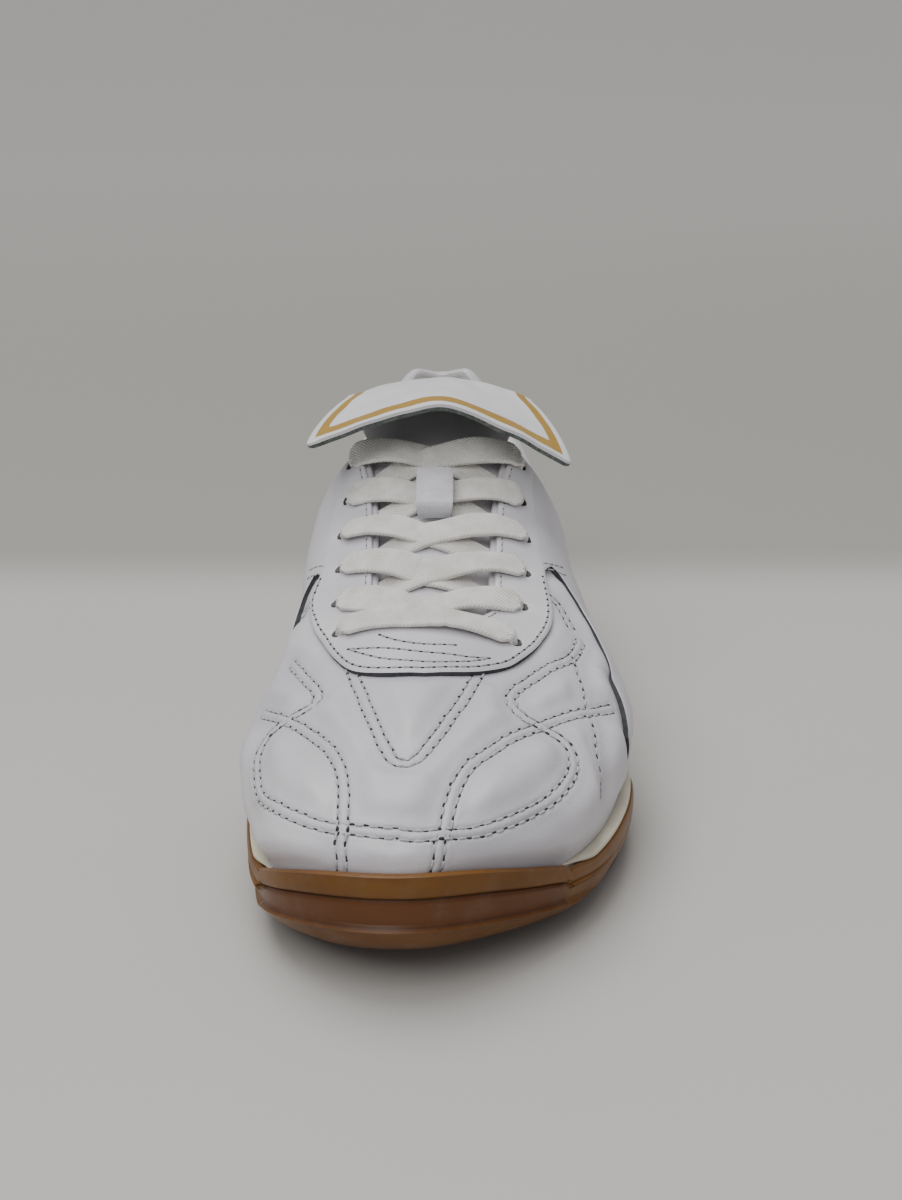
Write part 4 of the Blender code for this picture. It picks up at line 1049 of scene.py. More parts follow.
def build_finishes():
    """Every finish of the shoe."""
    build_effects()
    white, cool = rgb(214, 211, 214), rgb(203, 200, 206)
    build_leather("vamp_leather", white, cool, quilted=True, eyelet_shade=True)
    build_leather("panel_leather", white, cool)
    build_leather("stay_leather", rgb(228, 227, 229), cool, eyelet_shade=True, fold=70.0)
    build_flap_leather()
    build_cloth("lining_cloth", rgb(205, 204, 200), rgb(176, 175, 172), 0.0011)
    cotton = rgb(246, 244, 238), rgb(224, 221, 213)
    build_cloth("lace_cloth", *cotton, 0.0011, own_run=True, depth=0.0004)
    build_cloth("keeper_webbing", rgb(232, 231, 236), rgb(214, 213, 220), 0.0008, own_run=True)
    build_cloth("insole_cloth", rgb(190, 189, 186), rgb(160, 159, 158), 0.0013)
    amber = rgb(120, 79, 29), rgb(103, 65, 21)
    build_rubber("gum_finish", *amber, 0.38, 0.03, (0.004, 0.0015, 0.0004), panel=True)
    cream = rgb(226, 220, 200), rgb(214, 207, 184)
    build_rubber("foam_finish", *cream, 0.55, 0.1, (0.003, 0.002, 0.0015))
    # Dark grey for raw leather edges, also used as painted shade in the gap under the eyestay's lower lip
    build_plain("raw_edge_and_shade", rgb(74, 76, 80), rgb(50, 52, 56), 0.8)
    felt = rgb(104, 110, 104), rgb(66, 72, 70)
    build_plain("flap_lining", *felt, 0.9, scale=700.0, depth=0.0004, sheen=0.2)
    build_plain("thread", rgb(206, 206, 208), rgb(176, 177, 182), 0.7, scale=1500.0)
    # Dark grey for the painted shade of the needle holes
    build_plain("needle_hole_shade", rgb(66, 66, 71), rgb(46, 46, 51), 0.9)


# The sole


def sole_bottom(at):
    """The height of the tread: flat under the heel and the ball, raised in the arch and sprung at the
    toe."""
    arch = ease(at, 0.31, 0.41) * (1 - ease(at, 0.50, 0.60))
    heel = 1 - ease(at, 0.0, 0.06)
    return read(SOLE_SIDE, "spring", at) * TOE_SPRING * (at > 0.70) + ARCH_RISE * arch + HEEL_BEVEL * heel


def floor_top(at):
    """Height of the outsole's inner floor."""
    return sole_bottom(at) + OUTSOLE_THICKNESS


def ledge_share(at):
    """1 where the midsole reaches out over the outsole's rim, down to 0 where the bumper begins."""
    return 1 - ease(at, LEDGE_END - 0.04, LEDGE_END)


def lip_top(at):
    """The rim of the outsole: it climbs along the sides to the midsole's ledge, and over the toe as a
    bumper."""
    climb = TOE_LIP_HEIGHT - TOE_SPRING - OUTSOLE_THICKNESS - EDGE_LIP_HEIGHT
    rim = floor_top(at) + EDGE_LIP_HEIGHT + np.maximum(read(SOLE_SIDE, "lip", at), 0) * climb
    under_ledge = midsole_top(at) - GAP - MIDSOLE_LEDGE * ledge_share(at)
    return np.where(at < LEDGE_END + 1e-4, np.minimum(rim, under_ledge), rim)


def wall_inset(at, down):
    """How far the outsole's wall is set in from the plan: a profile along the sides, another at the toe.

    Each profile is an inset plus a share of the tuck, read at a share of the way down from the rim.
    """
    wall = np.array(SOLE_WALL).T
    side, side_lean, toe, toe_lean = (np.interp(down, wall[0], column) for column in wall[1:])
    tuck = read(SOLE_SIDE, "tuck", at) * TREAD_TUCK
    at_toe = ease(at, *TOE_BLEND)
    return (side + side_lean * tuck) * (1 - at_toe) + (toe + toe_lean * tuck) * at_toe


def pocket_inset(at, height):
    """How far the outsole's inner face is set in from the plan: it leans with the wall outside it."""
    low, high = floor_top(at), lip_top(at)
    lean = wall_inset(at, (high - low) / (high - sole_bottom(at)))
    return TOE_LIP_WALL + lean * np.clip((high - height) / (high - low), 0, 1)


def ring_rows(at, rows):
    """The rows of a ring on both sides of the sole's plan, each an inset and a height at every
    station."""
    return [
        [np.column_stack([plan_point(side, at, inset), height]) for inset, height in rows]
        for side in (MEDIAL, LATERAL)
    ]


def bridge_rows(one, other, count, lift=None):
    """Rows that cross from one side's row to the other's in even steps, each point raised by lift."""
    rows = []
    for share in np.linspace(0, 1, count + 2)[1:-1]:
        row = one + (other - one) * share
        if lift is not None:
            row = row + np.stack([0 * share * row[:, 0], 0 * row[:, 0], lift(row, share)], -1)
        rows.append(row)
    return rows


def tread(row, share):
    """Height of the tread's grooves: zigzag ridges across the sole, worn smooth towards its border."""
    zigzag = np.abs((row[:, 0] / TREAD_ZIGZAG) % 1 - 0.5) * TREAD_ZIGZAG
    ridge = 0.5 + 0.5 * np.cos(2 * math.pi * (row[:, 1] + zigzag) / TREAD_PITCH)
    return TREAD_DEPTH * (1 - ease(ridge, 0.25, 0.45)) * ease(min(share, 1 - share), 0.03, 0.07)


def build_outsole():
    """A closed ring of rows: floor, inner wall, rounded rim, banded outer wall, and a grooved tread
    below."""
    at = place_of(np.linspace(0, math.pi, 401))
    bottom, top = sole_bottom(at), lip_top(at)
    panel = ease(at, PANEL_START, PANEL_START + 0.007)
    flex = np.abs(at[:, None] - np.array(FLEX_GROOVES)).min(1) * SOLE_LENGTH
    in_flex = 1 - ease(flex, FLEX_GROOVE_WIDTH * 0.35, FLEX_GROOVE_WIDTH * 0.6)
    wall = pocket_inset(at, top)
    rows = [
        (pocket_inset(at, floor_top(at)), floor_top(at)),
        (wall, top - 0.0007),
        (wall - 0.0004, top - 0.0002),
        (wall - 0.0010, top),
        (0.0012 + 0 * at, top),
        (0.0006 + 0 * at, top - 0.0002),
    ]
    panel_tone_and_shade, lines = [0 * at] * len(rows), [0 * at] * len(rows)
    for share in np.concatenate([np.linspace(*span) for span in SOLE_WALL_STEPS]):
        deep = ease(share, 0.22, 0.25) * (1 - ease(share, 0.29, 0.34))
        inset = wall_inset(at, share + 0 * at) - 0.0017 * deep * (1 - panel) * ease(at, *TOE_BLEND)
        rows.append((inset, top + (bottom - top) * share + in_flex * FLEX_GROOVE_DEPTH * (share > 0.97)))
        # Fields for the gum finish: the panel's deeper tone with painted shade, and painted shade along its
        # groove, its ridge and the wall's lowest fifth
        panel_tone_and_shade.append(panel * ease(share, 0.25, 0.29) * (1 - 0.7 * ease(share, 0.57, 0.62)))
        dark = bell(share, PANEL_GROOVE, 0.016) + 0.7 * bell(share, PANEL_RIDGE, 0.016)
        lines.append(panel * dark + 0.5 * ease(share, 0.8, 1.0))
    medial, lateral = ring_rows(at, rows)
    floor = bridge_rows(lateral[0], medial[0], 5)
    sole = bridge_rows(medial[-1], lateral[-1], 84, tread)
    loop = medial + sole + lateral[::-1] + floor + medial[:1]
    none = [0 * at]
    fields = {
        name: [np.stack(found + none * len(sole) + found[::-1] + none * len(floor) + found[:1])]
        for name, found in (("panel", panel_tone_and_shade), ("groove", lines))
    }
    return piece("outsole_gum", [(np.stack(loop), "gum_finish")], ["outsole"], fields)


def build_midsole():
    """A foam wedge whose ledge lies over the outsole's rim, with a shallow groove round its wall."""
    at = place_of(np.linspace(0, math.pi, 361))
    top, rim = midsole_top(at), lip_top(at)
    shelf = np.minimum(rim + GAP * 0.3, top)
    out = np.where(ledge_share(at) < 0.02, 0, ledge_share(at))
    low = floor_top(at) + GAP
    edge = (pocket_inset(at, shelf) + GAP) * (1 - out) + LEDGE_IN * ease(at, 0.60, 0.70) * out
    rows = [(pocket_inset(at, height) + GAP, height) for height in (low, shelf)]
    rows.append((edge + 0.0005 * out, shelf))
    deep = ease(top - rim, 0.002, 0.006)
    for share, inset in MIDSOLE_WALL:
        rows.append((edge + inset * out * (0.4 + 0.6 * deep), shelf + (top - shelf) * share))
    rows += [(edge + 0.0006 * out, top), (edge + 0.0020, top + 0.0001)]
    medial, lateral = ring_rows(at, rows)
    over = bridge_rows(lateral[-1], medial[-1], 3)
    under = bridge_rows(medial[0], lateral[0], 3)
    loop = medial[::-1] + under + lateral + over + medial[-1:]
    return piece("midsole_wedge", [(np.stack(loop), "foam_finish")], ["midsole"])


def build_insole():
    """A sock with a soft dish under the heel and a raised arch."""
    at = place_of(np.linspace(0, math.pi, 161))
    low = midsole_top(at) + GAP * 1.5
    border = ((0.0072, 0), (0.0070, 0.6), (0.0078, 0.95), (0.0095, 1))
    rows = [(inset + 0 * at, low + INSOLE_WALL * share) for inset, share in border]
    medial, lateral = ring_rows(at, rows)

    def dish(row, share):
        heel = 1 - ease(at, 0.22, 0.34)
        return -0.0010 * heel * math.sin(math.pi * share) + 0.0012 * bell(at, 0.45, 0.10) * (1 - share) ** 2

    over = bridge_rows(medial[-1], lateral[-1], 20, dish)
    under = bridge_rows(lateral[0], medial[0], 3)
    loop = medial + over + lateral[::-1] + under + medial[:1]
    return piece("insole_sock", [(np.stack(loop), "insole_cloth")], ["insole"])


# The upper


def wall_thickness(at, v):
    """Plain leather, with a soft pad along the collar."""
    return UPPER_WALL + (COLLAR_PAD - UPPER_WALL) * (1 - beyond_padding(at)) * ease(v, 0.55, 0.85)


def inner_point(side, at, v):
    """The lining: the wall's thickness in from the outer face, and straight on the midsole at its
    foot."""
    inside = wall_point(side, at, v) - wall_normal(side, at, v) * wall_thickness(at, v)[..., None]
    foot = plan_point(side, at, FEATHER_INSET + UPPER_WALL + 0 * at)
    foot = np.concatenate([foot, (midsole_top(at) + GAP)[..., None]], -1)
    return np.where((v <= 0)[..., None], foot, inside)


def rim_points(side, at, over, under, steps, lift):
    """A half round from the outer face over the rim to the lining: mean + half span * cosine + climb *
    sine."""
    climb = wall_point(side, at, 1 + 0 * at) - wall_point(side, at, 0.98 + 0 * at)
    climb[at <= 0, 0] = 0
    climb = unit(climb)
    full = np.maximum(read(SECTIONS, "edge", at) * BALL_WIDTH, 1e-6)
    open_share = np.where(at <= 0, 1, np.clip(half_gap(at) / full, 0, 1))
    reach = np.linalg.norm(over - under, axis=-1)[:, None] / 2 * open_share[:, None]
    mean, half = (over + under) / 2, (over - under) / 2
    rows = [over]
    for turn in np.linspace(0, math.pi, steps + 2)[1:-1]:
        rows.append(mean + half * math.cos(turn) + climb * (reach * 0.75 + lift[:, None]) * math.sin(turn))
    return np.stack(rows + [under], 1)


def build_collar():
    """The rear of the upper: its walls, the padded rim with two lobes over the heel, and the lining."""
    at = place_of(np.linspace(0, angle_of(0.52), 190))
    at[0] = 0
    outer_v = np.concatenate([np.linspace(0, 0.88, 24), np.linspace(0.89, 1, 22)])
    inner_v = np.concatenate([np.linspace(1, 0.55, 22), np.linspace(0.5, 0, 12)])
    padded = 1 - beyond_padding(at)
    lobes = 0.0040 * bell(at, 0.028, 0.022) - 0.0006 * bell(at, 0, 0.004)
    parts = []
    for side in (MEDIAL, LATERAL):
        grown = wall_normal(side, at[:, None], outer_v)
        puff = 0.0014 * bell(outer_v, 0.965, 0.030) * padded[:, None]
        outer = wall_point(side, at[:, None], outer_v) + grown * puff[..., None]
        inner = inner_point(side, *np.meshgrid(at, inner_v, indexing="ij"))
        rim = rim_points(side, at, outer[:, -1], inner[:, 0], 13, lobes * padded)
        foot = np.stack([inner[:, -1], outer[:, 0]], 1)
        split = 9
        parts += [(grid, "panel_leather") for grid in (outer, rim[:, : split + 1])]
        parts += [(grid, "lining_cloth") for grid in (rim[:, split:], inner, foot)]
    collar = piece("collar_padding", parts, ["upper"])
    return collar


def vamp_stations():
    """Stations of the vamp: even ones along the throat, close ones round its end, then to the toe."""
    arms = np.linspace(0.50, THROAT_END - THROAT_ROUND, 84)
    end = THROAT_END - THROAT_ROUND * (1 - np.cos(np.radians(np.linspace(88, 0, 24))))
    toe = place_of(np.linspace(angle_of(THROAT_END), math.pi, 236))[1:]
    at = np.concatenate([arms, end, toe])
    at[-1] = 1
    return at


def stay_outline():
    """The eyestay's outer edge as a line on the leather."""
    sides = [np.column_stack([EYESTAY["at"], EYESTAY[key] / MM]) for key in SIDE_NAME.values()]
    return [through(knots, 0.002) for knots in sides]


def quarter_edges():
    """The quarters' front edges as lines on the leather."""
    v = np.linspace(0.0, 0.725, 40)
    return [wall_point(side, quarter_front(side, v), v) for side in (MEDIAL, LATERAL)]


def build_vamp():
    """The front of the upper, whose leather swells between the seams.

    Each point stands out by the full puff times the exponential of minus three times its nearness to the
    seams, and dips under each row of stitches.
    """
    at = vamp_stations()
    open_part = at <= THROAT_END + 1e-9
    outer_v = np.linspace(0, 1, 120)
    inner_v = np.linspace(0, 1, 8)
    rows = [through(line, QUILT_STEP) for line in DOUBLE_ROWS]
    side_row = [through(SIDE_LINE, QUILT_STEP)]
    borders = stay_outline() + quarter_edges()
    eyelets = eyelet_points(0.0)
    parts, covered, low = [], [], []
    for side in (MEDIAL, LATERAL):
        outer = wall_point(side, at[:, None], outer_v)
        inner = inner_point(side, *np.meshgrid(at, inner_v, indexing="ij"))
        rim = rim_points(side, at, outer[:, -1], inner[:, -1], 4, 0 * at)[open_part]
        across = (1 - outer_v) * wall_length(side, at)[:, None] + half_gap(at)[:, None]
        under_stay = (across < eyestay_outer(side, at)[:, None]) & (at[:, None] < EYESTAY["at"][-1])
        behind = at[:, None] < quarter_front(side, outer_v)
        foot = np.stack([outer[:, 0], inner[:, 0]])
        finishes = ("vamp_leather", "lining_cloth", "lining_cloth", "vamp_leather")
        parts += list(zip((outer, inner, foot, rim), finishes))
        covered += [(under_stay | behind).astype(float), 1.0, 1.0, 1.0]
        above = outer[..., 2] - np.maximum(lip_top(at), midsole_top(at))[:, None]
        low += [ease(above, 0.0003, 0.0085), 0.0, 0.0, 0.0]

    def quilting(place, held):
        double, single = line_distance(place, rows), line_distance(place, side_row)
        from_border = line_distance(place, borders)
        puff = PUFF * np.exp(-3 * nearness(place, rows + side_row, QUILT_STEP, PUFF_REACH))
        open_leather = (1 - held["covered"]) * (1 - bell(from_border, 0, BORDER_REACH))
        groove = DOUBLE_GROOVE * bell(double, ROW_APART / 2, 0.0006)
        groove = groove + SINGLE_GROOVE * bell(single, 0, 0.0006)
        ridge = ROW_RIDGE * bell(double, 0, 0.0008)
        height = (puff * held["low"] - groove + ridge) * open_leather
        uneven = waves(place, 5, 0.030) * VAMP_WAVES + creases(place)
        height = height + uneven * held["low"] * open_leather
        eyelet = np.sqrt(((place[:, None] - eyelets) ** 2).sum(-1)).min(1)
        # row and seam carry painted shade for the finish: the grooves under the stitch rows and the dips
        # beside the seams
        row = np.maximum(bell(double, ROW_APART / 2, 0.0005), 0.7 * bell(single, 0, 0.0005))
        seam = bell(np.minimum(double, single), 0, 0.0034)
        return height * held["outside"], {"seam": seam, "row": row, "eyelet": eyelet}

    fields = {"outside": [1.0, 0.0, 0.0, 0.0] * 2, "covered": covered, "low": low}
    return piece("vamp", parts, ["upper"], fields, quilting)


def creases(place):
    """Shallow folds of the leather, each a soft valley along a short line that fades at its ends."""
    total = np.zeros(len(place))
    for start, end, depth, width in CREASES:
        line = through((start, end), 0.002)
        middle, half = line[len(line) // 2], np.linalg.norm(line[-1] - line[0]) / 2
        fade = 1 - ease(np.linalg.norm(place - middle, axis=1), half * 0.5, half * 1.1)
        near = np.exp(-((line_distance(place, [line]) / (width * MM)) ** 2))
        total -= near * fade * depth * MM
    return total


def border_shares(count, near):
    """Shares from 0 to 1 in even steps, with close ones at both ends for a rounded border."""
    close = np.array([0, near * 0.4, near])
    return np.concatenate([close, np.linspace(0, 1, count)[1:-1], 1 - close[::-1]])


def build_quarter():
    """The leather over the heel and the sides: a sheet at a height over the upper, rounded down at its
    borders."""
    share = border_shares(54, 0.010)
    heel = place_of(np.linspace(0, angle_of(0.36), 120))
    heel[0] = 0
    part = border_shares(74, 0.0032)[1:, None]
    low = QUARTER_FRONT["v"][0]
    parts = []
    for side in (MEDIAL, LATERAL):
        column = QUARTER_FRONT[SIDE_NAME[side]]
        climb = (QUARTER_FRONT["v"] - low) / (quarter_top(side, column) - low)
        front = np.interp(share, climb / climb[-1], column)
        at = np.concatenate([heel[:, None] + 0 * share, heel[-1] + part * (front - heel[-1])])
        flush = flush_share(at[:, -1]) * ease(at[:, -1], *FACING_START)
        tucked = (flush * 0.0022 / wall_length(side, at[:, -1]))[:, None]
        v = low + share * (quarter_top(side, at) + tucked - low)
        out, flat = wall_normal(side, at, v), wall_point(side, at, v)
        at_top = (1 - 0.75 * flush)[:, None] * bell(share, 1, 0.006)
        rolled = 0.34 * (at_top + bell(share, 0, 0.006)) + 0.10 * flush[:, None] * ease(share, 0.93, 1.0)
        at_front = bell(np.concatenate([0 * heel, part[:, 0]]), 1, 0.008)[:, None]
        flat_out = (1 - rolled) * (1 - 0.20 * at_front)
        height = OVERLAY_TOP * flat_out + 0.00016 * waves(flat, 11, 0.045) * flat_out
        top = flat + out * height[..., None]
        under = flat - out * 0.0002
        # The dark edge colour also covers the last strip of the top face, so the front edge shows as a line
        # beside the vamp's swell
        raw = (top[-3:], under[::6, ::6], np.stack([top[-1], under[-1]]))
        parts += [(top[:-2], "panel_leather")] + [(grid, "raw_edge_and_shade") for grid in raw]
        parts += [(np.stack([top[:, k], under[:, k]], 1), "panel_leather") for k in (-1, 0)]
    return piece("quarter_panels", parts, ["quarter"])


def stay_grid(rows, share):
    """Places along the sole and across for the eyestay, from one facing's top round the throat to the
    other's."""
    t = np.linspace(0, 1, rows)
    turn = np.radians(np.minimum(blend(EYESTAY["turn"], t), 90))
    beside = t <= 0.5
    round_end = THROAT_END - THROAT_ROUND * (1 - np.cos(turn))
    inner_at = np.where(beside, blend(EYESTAY["inner_at"], t), round_end)
    width = read(SECTIONS, "edge", inner_at) * BALL_WIDTH * np.sin(turn)
    width = np.where(beside, half_gap(inner_at), width) + 0.0006 * np.sin(turn)
    inner_at = inner_at + 0.0022 * np.cos(turn)
    at = inner_at[:, None] + (blend(EYESTAY["at"], t) - inner_at)[:, None] * share
    halves = []
    for side, column in SIDE_NAME.items():
        inner, outer = side * width, blend(EYESTAY[column], t)
        halves.append((at, inner[:, None] + (outer - inner)[:, None] * share))
    return [np.concatenate([halves[0][k], halves[1][k][-2::-1]]) for k in (0, 1)]


def build_eyestay():
    """The facings and the panel below the throat in one sheet, its borders rolled down, its eyelets
    sunk."""
    share = border_shares(26, 0.03)
    at, across = stay_grid(150, share)
    flat = instep(at, across, OVERLAY_TOP)
    away = np.sqrt(((flat[:, :, None] - eyelet_points(OVERLAY_TOP)) ** 2).sum(-1)).min(-1)
    low_edge = (1 - flush_share(at[:, -1]))[:, None]
    rolled = 0.00042 * (bell(share, 1, 0.022) * (0.35 + 0.65 * low_edge) + bell(share, 0, 0.022))
    lip = 0.00022 * bell(share, 0.93, 0.035) * low_edge
    well = 1 - ease(away, EYELET_RADIUS * 0.7, EYELET_RADIUS * 1.1)
    well = 0.0010 * well + 0.00025 * bell(away, EYELET_RADIUS * 1.3, 0.0008)
    height = OVERLAY_TOP - rolled + lip - well + 0.00012 * waves(flat, 3, 0.020)
    top = instep(at, across, height)
    under = instep(at, across, -0.0001)
    wall_out = np.stack([top[:, -1], under[:, -1]], 1)
    wall_in = np.stack([top[:, 0], under[:, 0]], 1)
    first = int(np.argmax(low_edge[:, 0] > 0.5))
    last = len(at) - first
    ends = [np.stack([top[k], under[k]]) for k in (0, -1)]
    # The eyestay's lower edge wall is dark: its raw edge, and painted shade in the gap under the lip
    parts = [(top, "stay_leather"), (under, "raw_edge_and_shade"), (wall_in, "stay_leather")]
    parts += [(wall_out[: first + 1], "stay_leather"), (wall_out[first:last], "raw_edge_and_shade")]
    parts += [(grid, "stay_leather") for grid in (wall_out[last - 1 :], *ends)]
    # eyelet is the distance from the nearest eyelet, which the finish uses to paint shade inside the holes
    fields = {"eyelet": [away] + [1.0] * (len(parts) - 1)}
    return piece("eyestay_panel", parts, ["eyestay"], fields)


def normals_of(grid):
    """Normals of a grid of points, on the side its columns turn from its rows."""
    return unit(np.cross(np.gradient(grid, axis=1), np.gradient(grid, axis=0)))


def tongue_middle(share):
    """The tongue's middle sheet from under the vamp to the flap's free edge, its wall, and the flap's
    run."""
    t = np.linspace(0, 1, 44)
    at = np.interp(t, np.linspace(0, 1, len(TONGUE_BODY)), TONGUE_BODY)
    half = np.interp(at, TONGUE_HALF["at"], TONGUE_HALF["half"])
    body = instep(at[:, None], half[:, None] * share, -TONGUE_DEPTH - TONGUE_WALL / 2)
    run = np.concatenate([np.linspace(0, 0.97, 110), 1 - 0.03 * (1 - np.linspace(0, 1, 14)[1:]) ** 1.5])
    row = {name: blend(values, run)[:, None] for name, values in TONGUE.items()}
    middle_line = np.stack([0 * run, row["y"][:, 0], row["z"][:, 0]], 1)
    left = run_length(middle_line[::-1])[::-1]
    inside = FLAP_CORNER - np.minimum(left, FLAP_CORNER)
    cut = FLAP_CORNER - np.sqrt(np.maximum(FLAP_CORNER**2 - inside**2, 0))
    across = (row["half"] - cut[:, None]) * share
    bent = np.sqrt(across**2 + ROOF_ROUND**2) - ROOF_ROUND
    bent = bent * row["half"] ** 2 / (np.sqrt(row["half"] ** 2 + ROOF_ROUND**2) - ROOF_ROUND)
    roof = ease(run, 0.35, 0.75)[:, None]
    droop = np.where(across < 0, row["medial"], row["lateral"]) * (across**2 * (1 - roof) + bent * roof)
    centre = body[-1, len(share) // 2, 0] * (1 - ease(run, 0, 0.5))[:, None]
    pull = row["pull"] * across**2 * np.where(across < 0, 1.6, 3.3)
    back = 0.45 * droop * (1 - ease(run, 0.0, 0.35))[:, None]
    over = np.stack([centre + across, row["y"] + back - pull, row["z"] - droop], -1)
    edge = np.minimum(row["half"] - np.abs(across), 0.0008 + left[:, None] * 0.5)
    wall = np.concatenate([0 * at + TONGUE_WALL, row["wall"][:, 0]])
    edge = np.concatenate([0.02 + 0 * body[..., 0], np.where(run[:, None] > FLAP_START, edge, 0.02)])
    return np.concatenate([body, over]), wall, edge, len(at)


def build_tongue():
    """One padded sheet that comes up the throat and folds forward over the laces; its free edge shows its
    layers."""
    share = np.concatenate([[-1, -0.994, -0.985], np.linspace(-0.965, 0.965, 66), [0.985, 0.994, 1]])
    middle, wall, edge, body_rows = tongue_middle(share)
    out = normals_of(middle)
    soft = 1 - 0.35 * (bell(np.abs(share), 1, 0.008))
    bumps = 0.00025 * waves(middle, 21, 0.030) * (1 - bell(np.abs(share), 1, 0.15))
    top = middle + out * (wall[:, None] / 2 * soft + bumps)[..., None]
    under = middle - out * (wall[:, None] / 2 * soft - bumps)[..., None]
    split = body_rows + 34

    def layered(face, back, share_of_leather=0.45):
        seam = face + (back - face) * share_of_leather
        return np.stack([face, seam]), np.stack([seam, back])

    white, dark = layered(under[-1], top[-1])
    parts = [
        (top[: split + 1], "panel_leather"),
        (top[split:], "flap_lining"),
        (under[: split + 1], "lining_cloth"),
        (under[split:], "flap_leather"),
        (np.stack([top[0], under[0]]), "raw_edge_and_shade"),
        (white, "panel_leather"),
        (dark, "flap_lining"),
    ]
    for column in (0, -1):
        white, dark = layered(under[split:, column], top[split:, column])
        parts += [(white, "panel_leather"), (dark, "flap_lining")]
        parts.append((np.stack([top[: split + 1, column], under[: split + 1, column]]), "panel_leather"))
    fields = {"edge": [0.02, 0.02, 0.02, edge[split:]] + [0.02] * (len(parts) - 4)}
    return piece("tongue_and_flap", parts, ["tongue"], fields)


# Laces


def frame_along(at, across, height):
    """Points of a path over the instep with the directions beside it and away from the shoe."""
    path = instep(at, across, height)
    up = unit(instep(at, across, height + 1e-4) - path)
    run = np.gradient(path, axis=0)
    side = unit(np.cross(run, up))
    return path, side, unit(np.cross(side, run))


def into_eyelet(left):
    """Height above the leather and share of full width of a lace, at a distance from its eyelet."""
    height = OVER_FACING - (OVER_FACING + 0.0008) * (1 - ease(left, -0.0004, 0.0019))
    return height, 0.44 + 0.56 * ease(left, 0.0004, 0.0044)


def lace_piece(name, path, side, up, narrow, seed, node=(), curl=0.0):
    """A flat woven lace: its section is carried along the path, rolled by curl, with small wrinkles
    across it."""
    length = run_length(path)
    phase = np.random.default_rng(seed).uniform(0, 6.28, 4)
    roll = curl + 0.13 * np.sin(length / 0.010 + phase[0]) + 0.07 * np.sin(length / 0.0045 + phase[1])
    side, up = (
        side * np.cos(roll)[:, None] + up * np.sin(roll)[:, None],
        up * np.cos(roll)[:, None] - side * np.sin(roll)[:, None],
    )
    width = LACE_WIDTH / 2 * narrow * (1 + 0.06 * np.sin(length / 0.008 + phase[2]))
    wall = LACE_WALL / 2 * (0.9 + 0.1 * narrow)
    grid = sweep_rings(path, side, up, width, wall, LACE_PROFILE)
    share = LACE_PROFILE[:, 0]
    x = share * width[:, None]
    ripple = (np.sin(length / 0.0075 + phase[3]) * narrow)[:, None]
    crown = 0.00045 * np.cos(share * math.pi / 2) * ripple
    pinch = (1 - narrow)[:, None] * 0.0011 * np.cos(share * math.pi * 1.5)
    grid = grid + up[:, None] * (crown + pinch)[..., None]
    ends = [np.stack([end, end.mean(0) + 0 * end]) for end in (grid[0], grid[-1])]
    parts = [(grid, "lace_cloth")] + [(end, "lace_cloth") for end in ends]
    run = np.broadcast_to(length[:, None], x.shape)
    fields = {"across": [x, 0.0, 0.0], "along": [run, 0.0, float(length[-1])]}
    return piece(name, parts, node, fields, crease=60)


def lace_strand(name, side, row, middle, node=()):
    """One strand from under a facing, over the tongue and the other facing, into the next eyelet."""
    start_key, end_key = SIDE_NAME[-side], SIDE_NAME[side]
    start_at, start = EYELETS[start_key + "_at"][row], EYELETS[start_key][row]
    end_at, end = EYELETS[end_key + "_at"][row + 1], EYELETS[end_key][row + 1]
    t = np.linspace(0, 1, 400)
    at, across = start_at + (end_at - start_at) * t, start + (end - start) * t
    reach = LACE_WIDTH * 0.5 / SOLE_LENGTH
    clear = np.minimum(half_gap(at - reach), half_gap(at + reach)) - 0.0010 > np.abs(across)
    first = t[np.argmax(clear)]
    t = np.concatenate([np.linspace(first, 0.88, 60), np.linspace(0.884, 1, 34)])
    bow, curl = STRAND_BOW[row][side > 0], STRAND_CURL[row][side > 0]
    at = start_at + (end_at - start_at) * t + bow * np.sin(math.pi * t) ** 2
    across = start + (end - start) * t
    gap = half_gap(at)
    toward = across * side
    rise = ease(toward, -gap, 0 * gap)
    height = -0.0018 + (middle + 0.0018) * rise
    height = height + (OVER_FACING - middle) * ease(toward, 0 * gap, gap - 0.0045)
    height = height - LACE_SAG * np.clip(1 - (across / gap) ** 2, 0, 1)
    dip, narrow = into_eyelet(np.abs(end - across))
    height = np.where(toward > gap, np.minimum(height, dip), height)
    narrow = narrow * (0.84 + 0.16 * ease(t, first, first + 0.12))
    path, beside, up = frame_along(at, across, height)
    lift = ease(t, 0.55, 0.85) * (1 - ease(t, 0.93, 1.0))
    return lace_piece(name, path, beside, up, narrow, 40 + row * 2 + (side > 0), node, curl * lift * 2)


def build_laces():
    """One bar through the lowest eyelets and two strands of each crossing above it."""
    fold = np.linspace(0, 0.12, 34)
    share = np.concatenate([fold, np.linspace(0.125, 0.875, 60), np.linspace(0.88, 1, 34)])
    keys = ("medial_at", "lateral_at", "medial", "lateral")
    start_at, end_at, start, end = (EYELETS[key][0] for key in keys)
    at = start_at + (end_at - start_at) * share - 0.003 * np.sin(math.pi * share)
    across = start + (end - start) * share
    height, narrow = into_eyelet(np.minimum(across - start, end - across))
    path, beside, up = frame_along(at, across, height)
    lace_piece("lace_bar_cotton", path, beside, up, narrow, 7, ["lace_bar"])
    for row in range(5):
        node = [f"lace_cross_{row + 1}"]
        lace_strand(f"lace_under_{row + 1}", MEDIAL, row, 0.0004, node)
        lace_strand(f"lace_over_{row + 1}", LATERAL, row, 0.0004 + 0.0013 * 0.9, node)


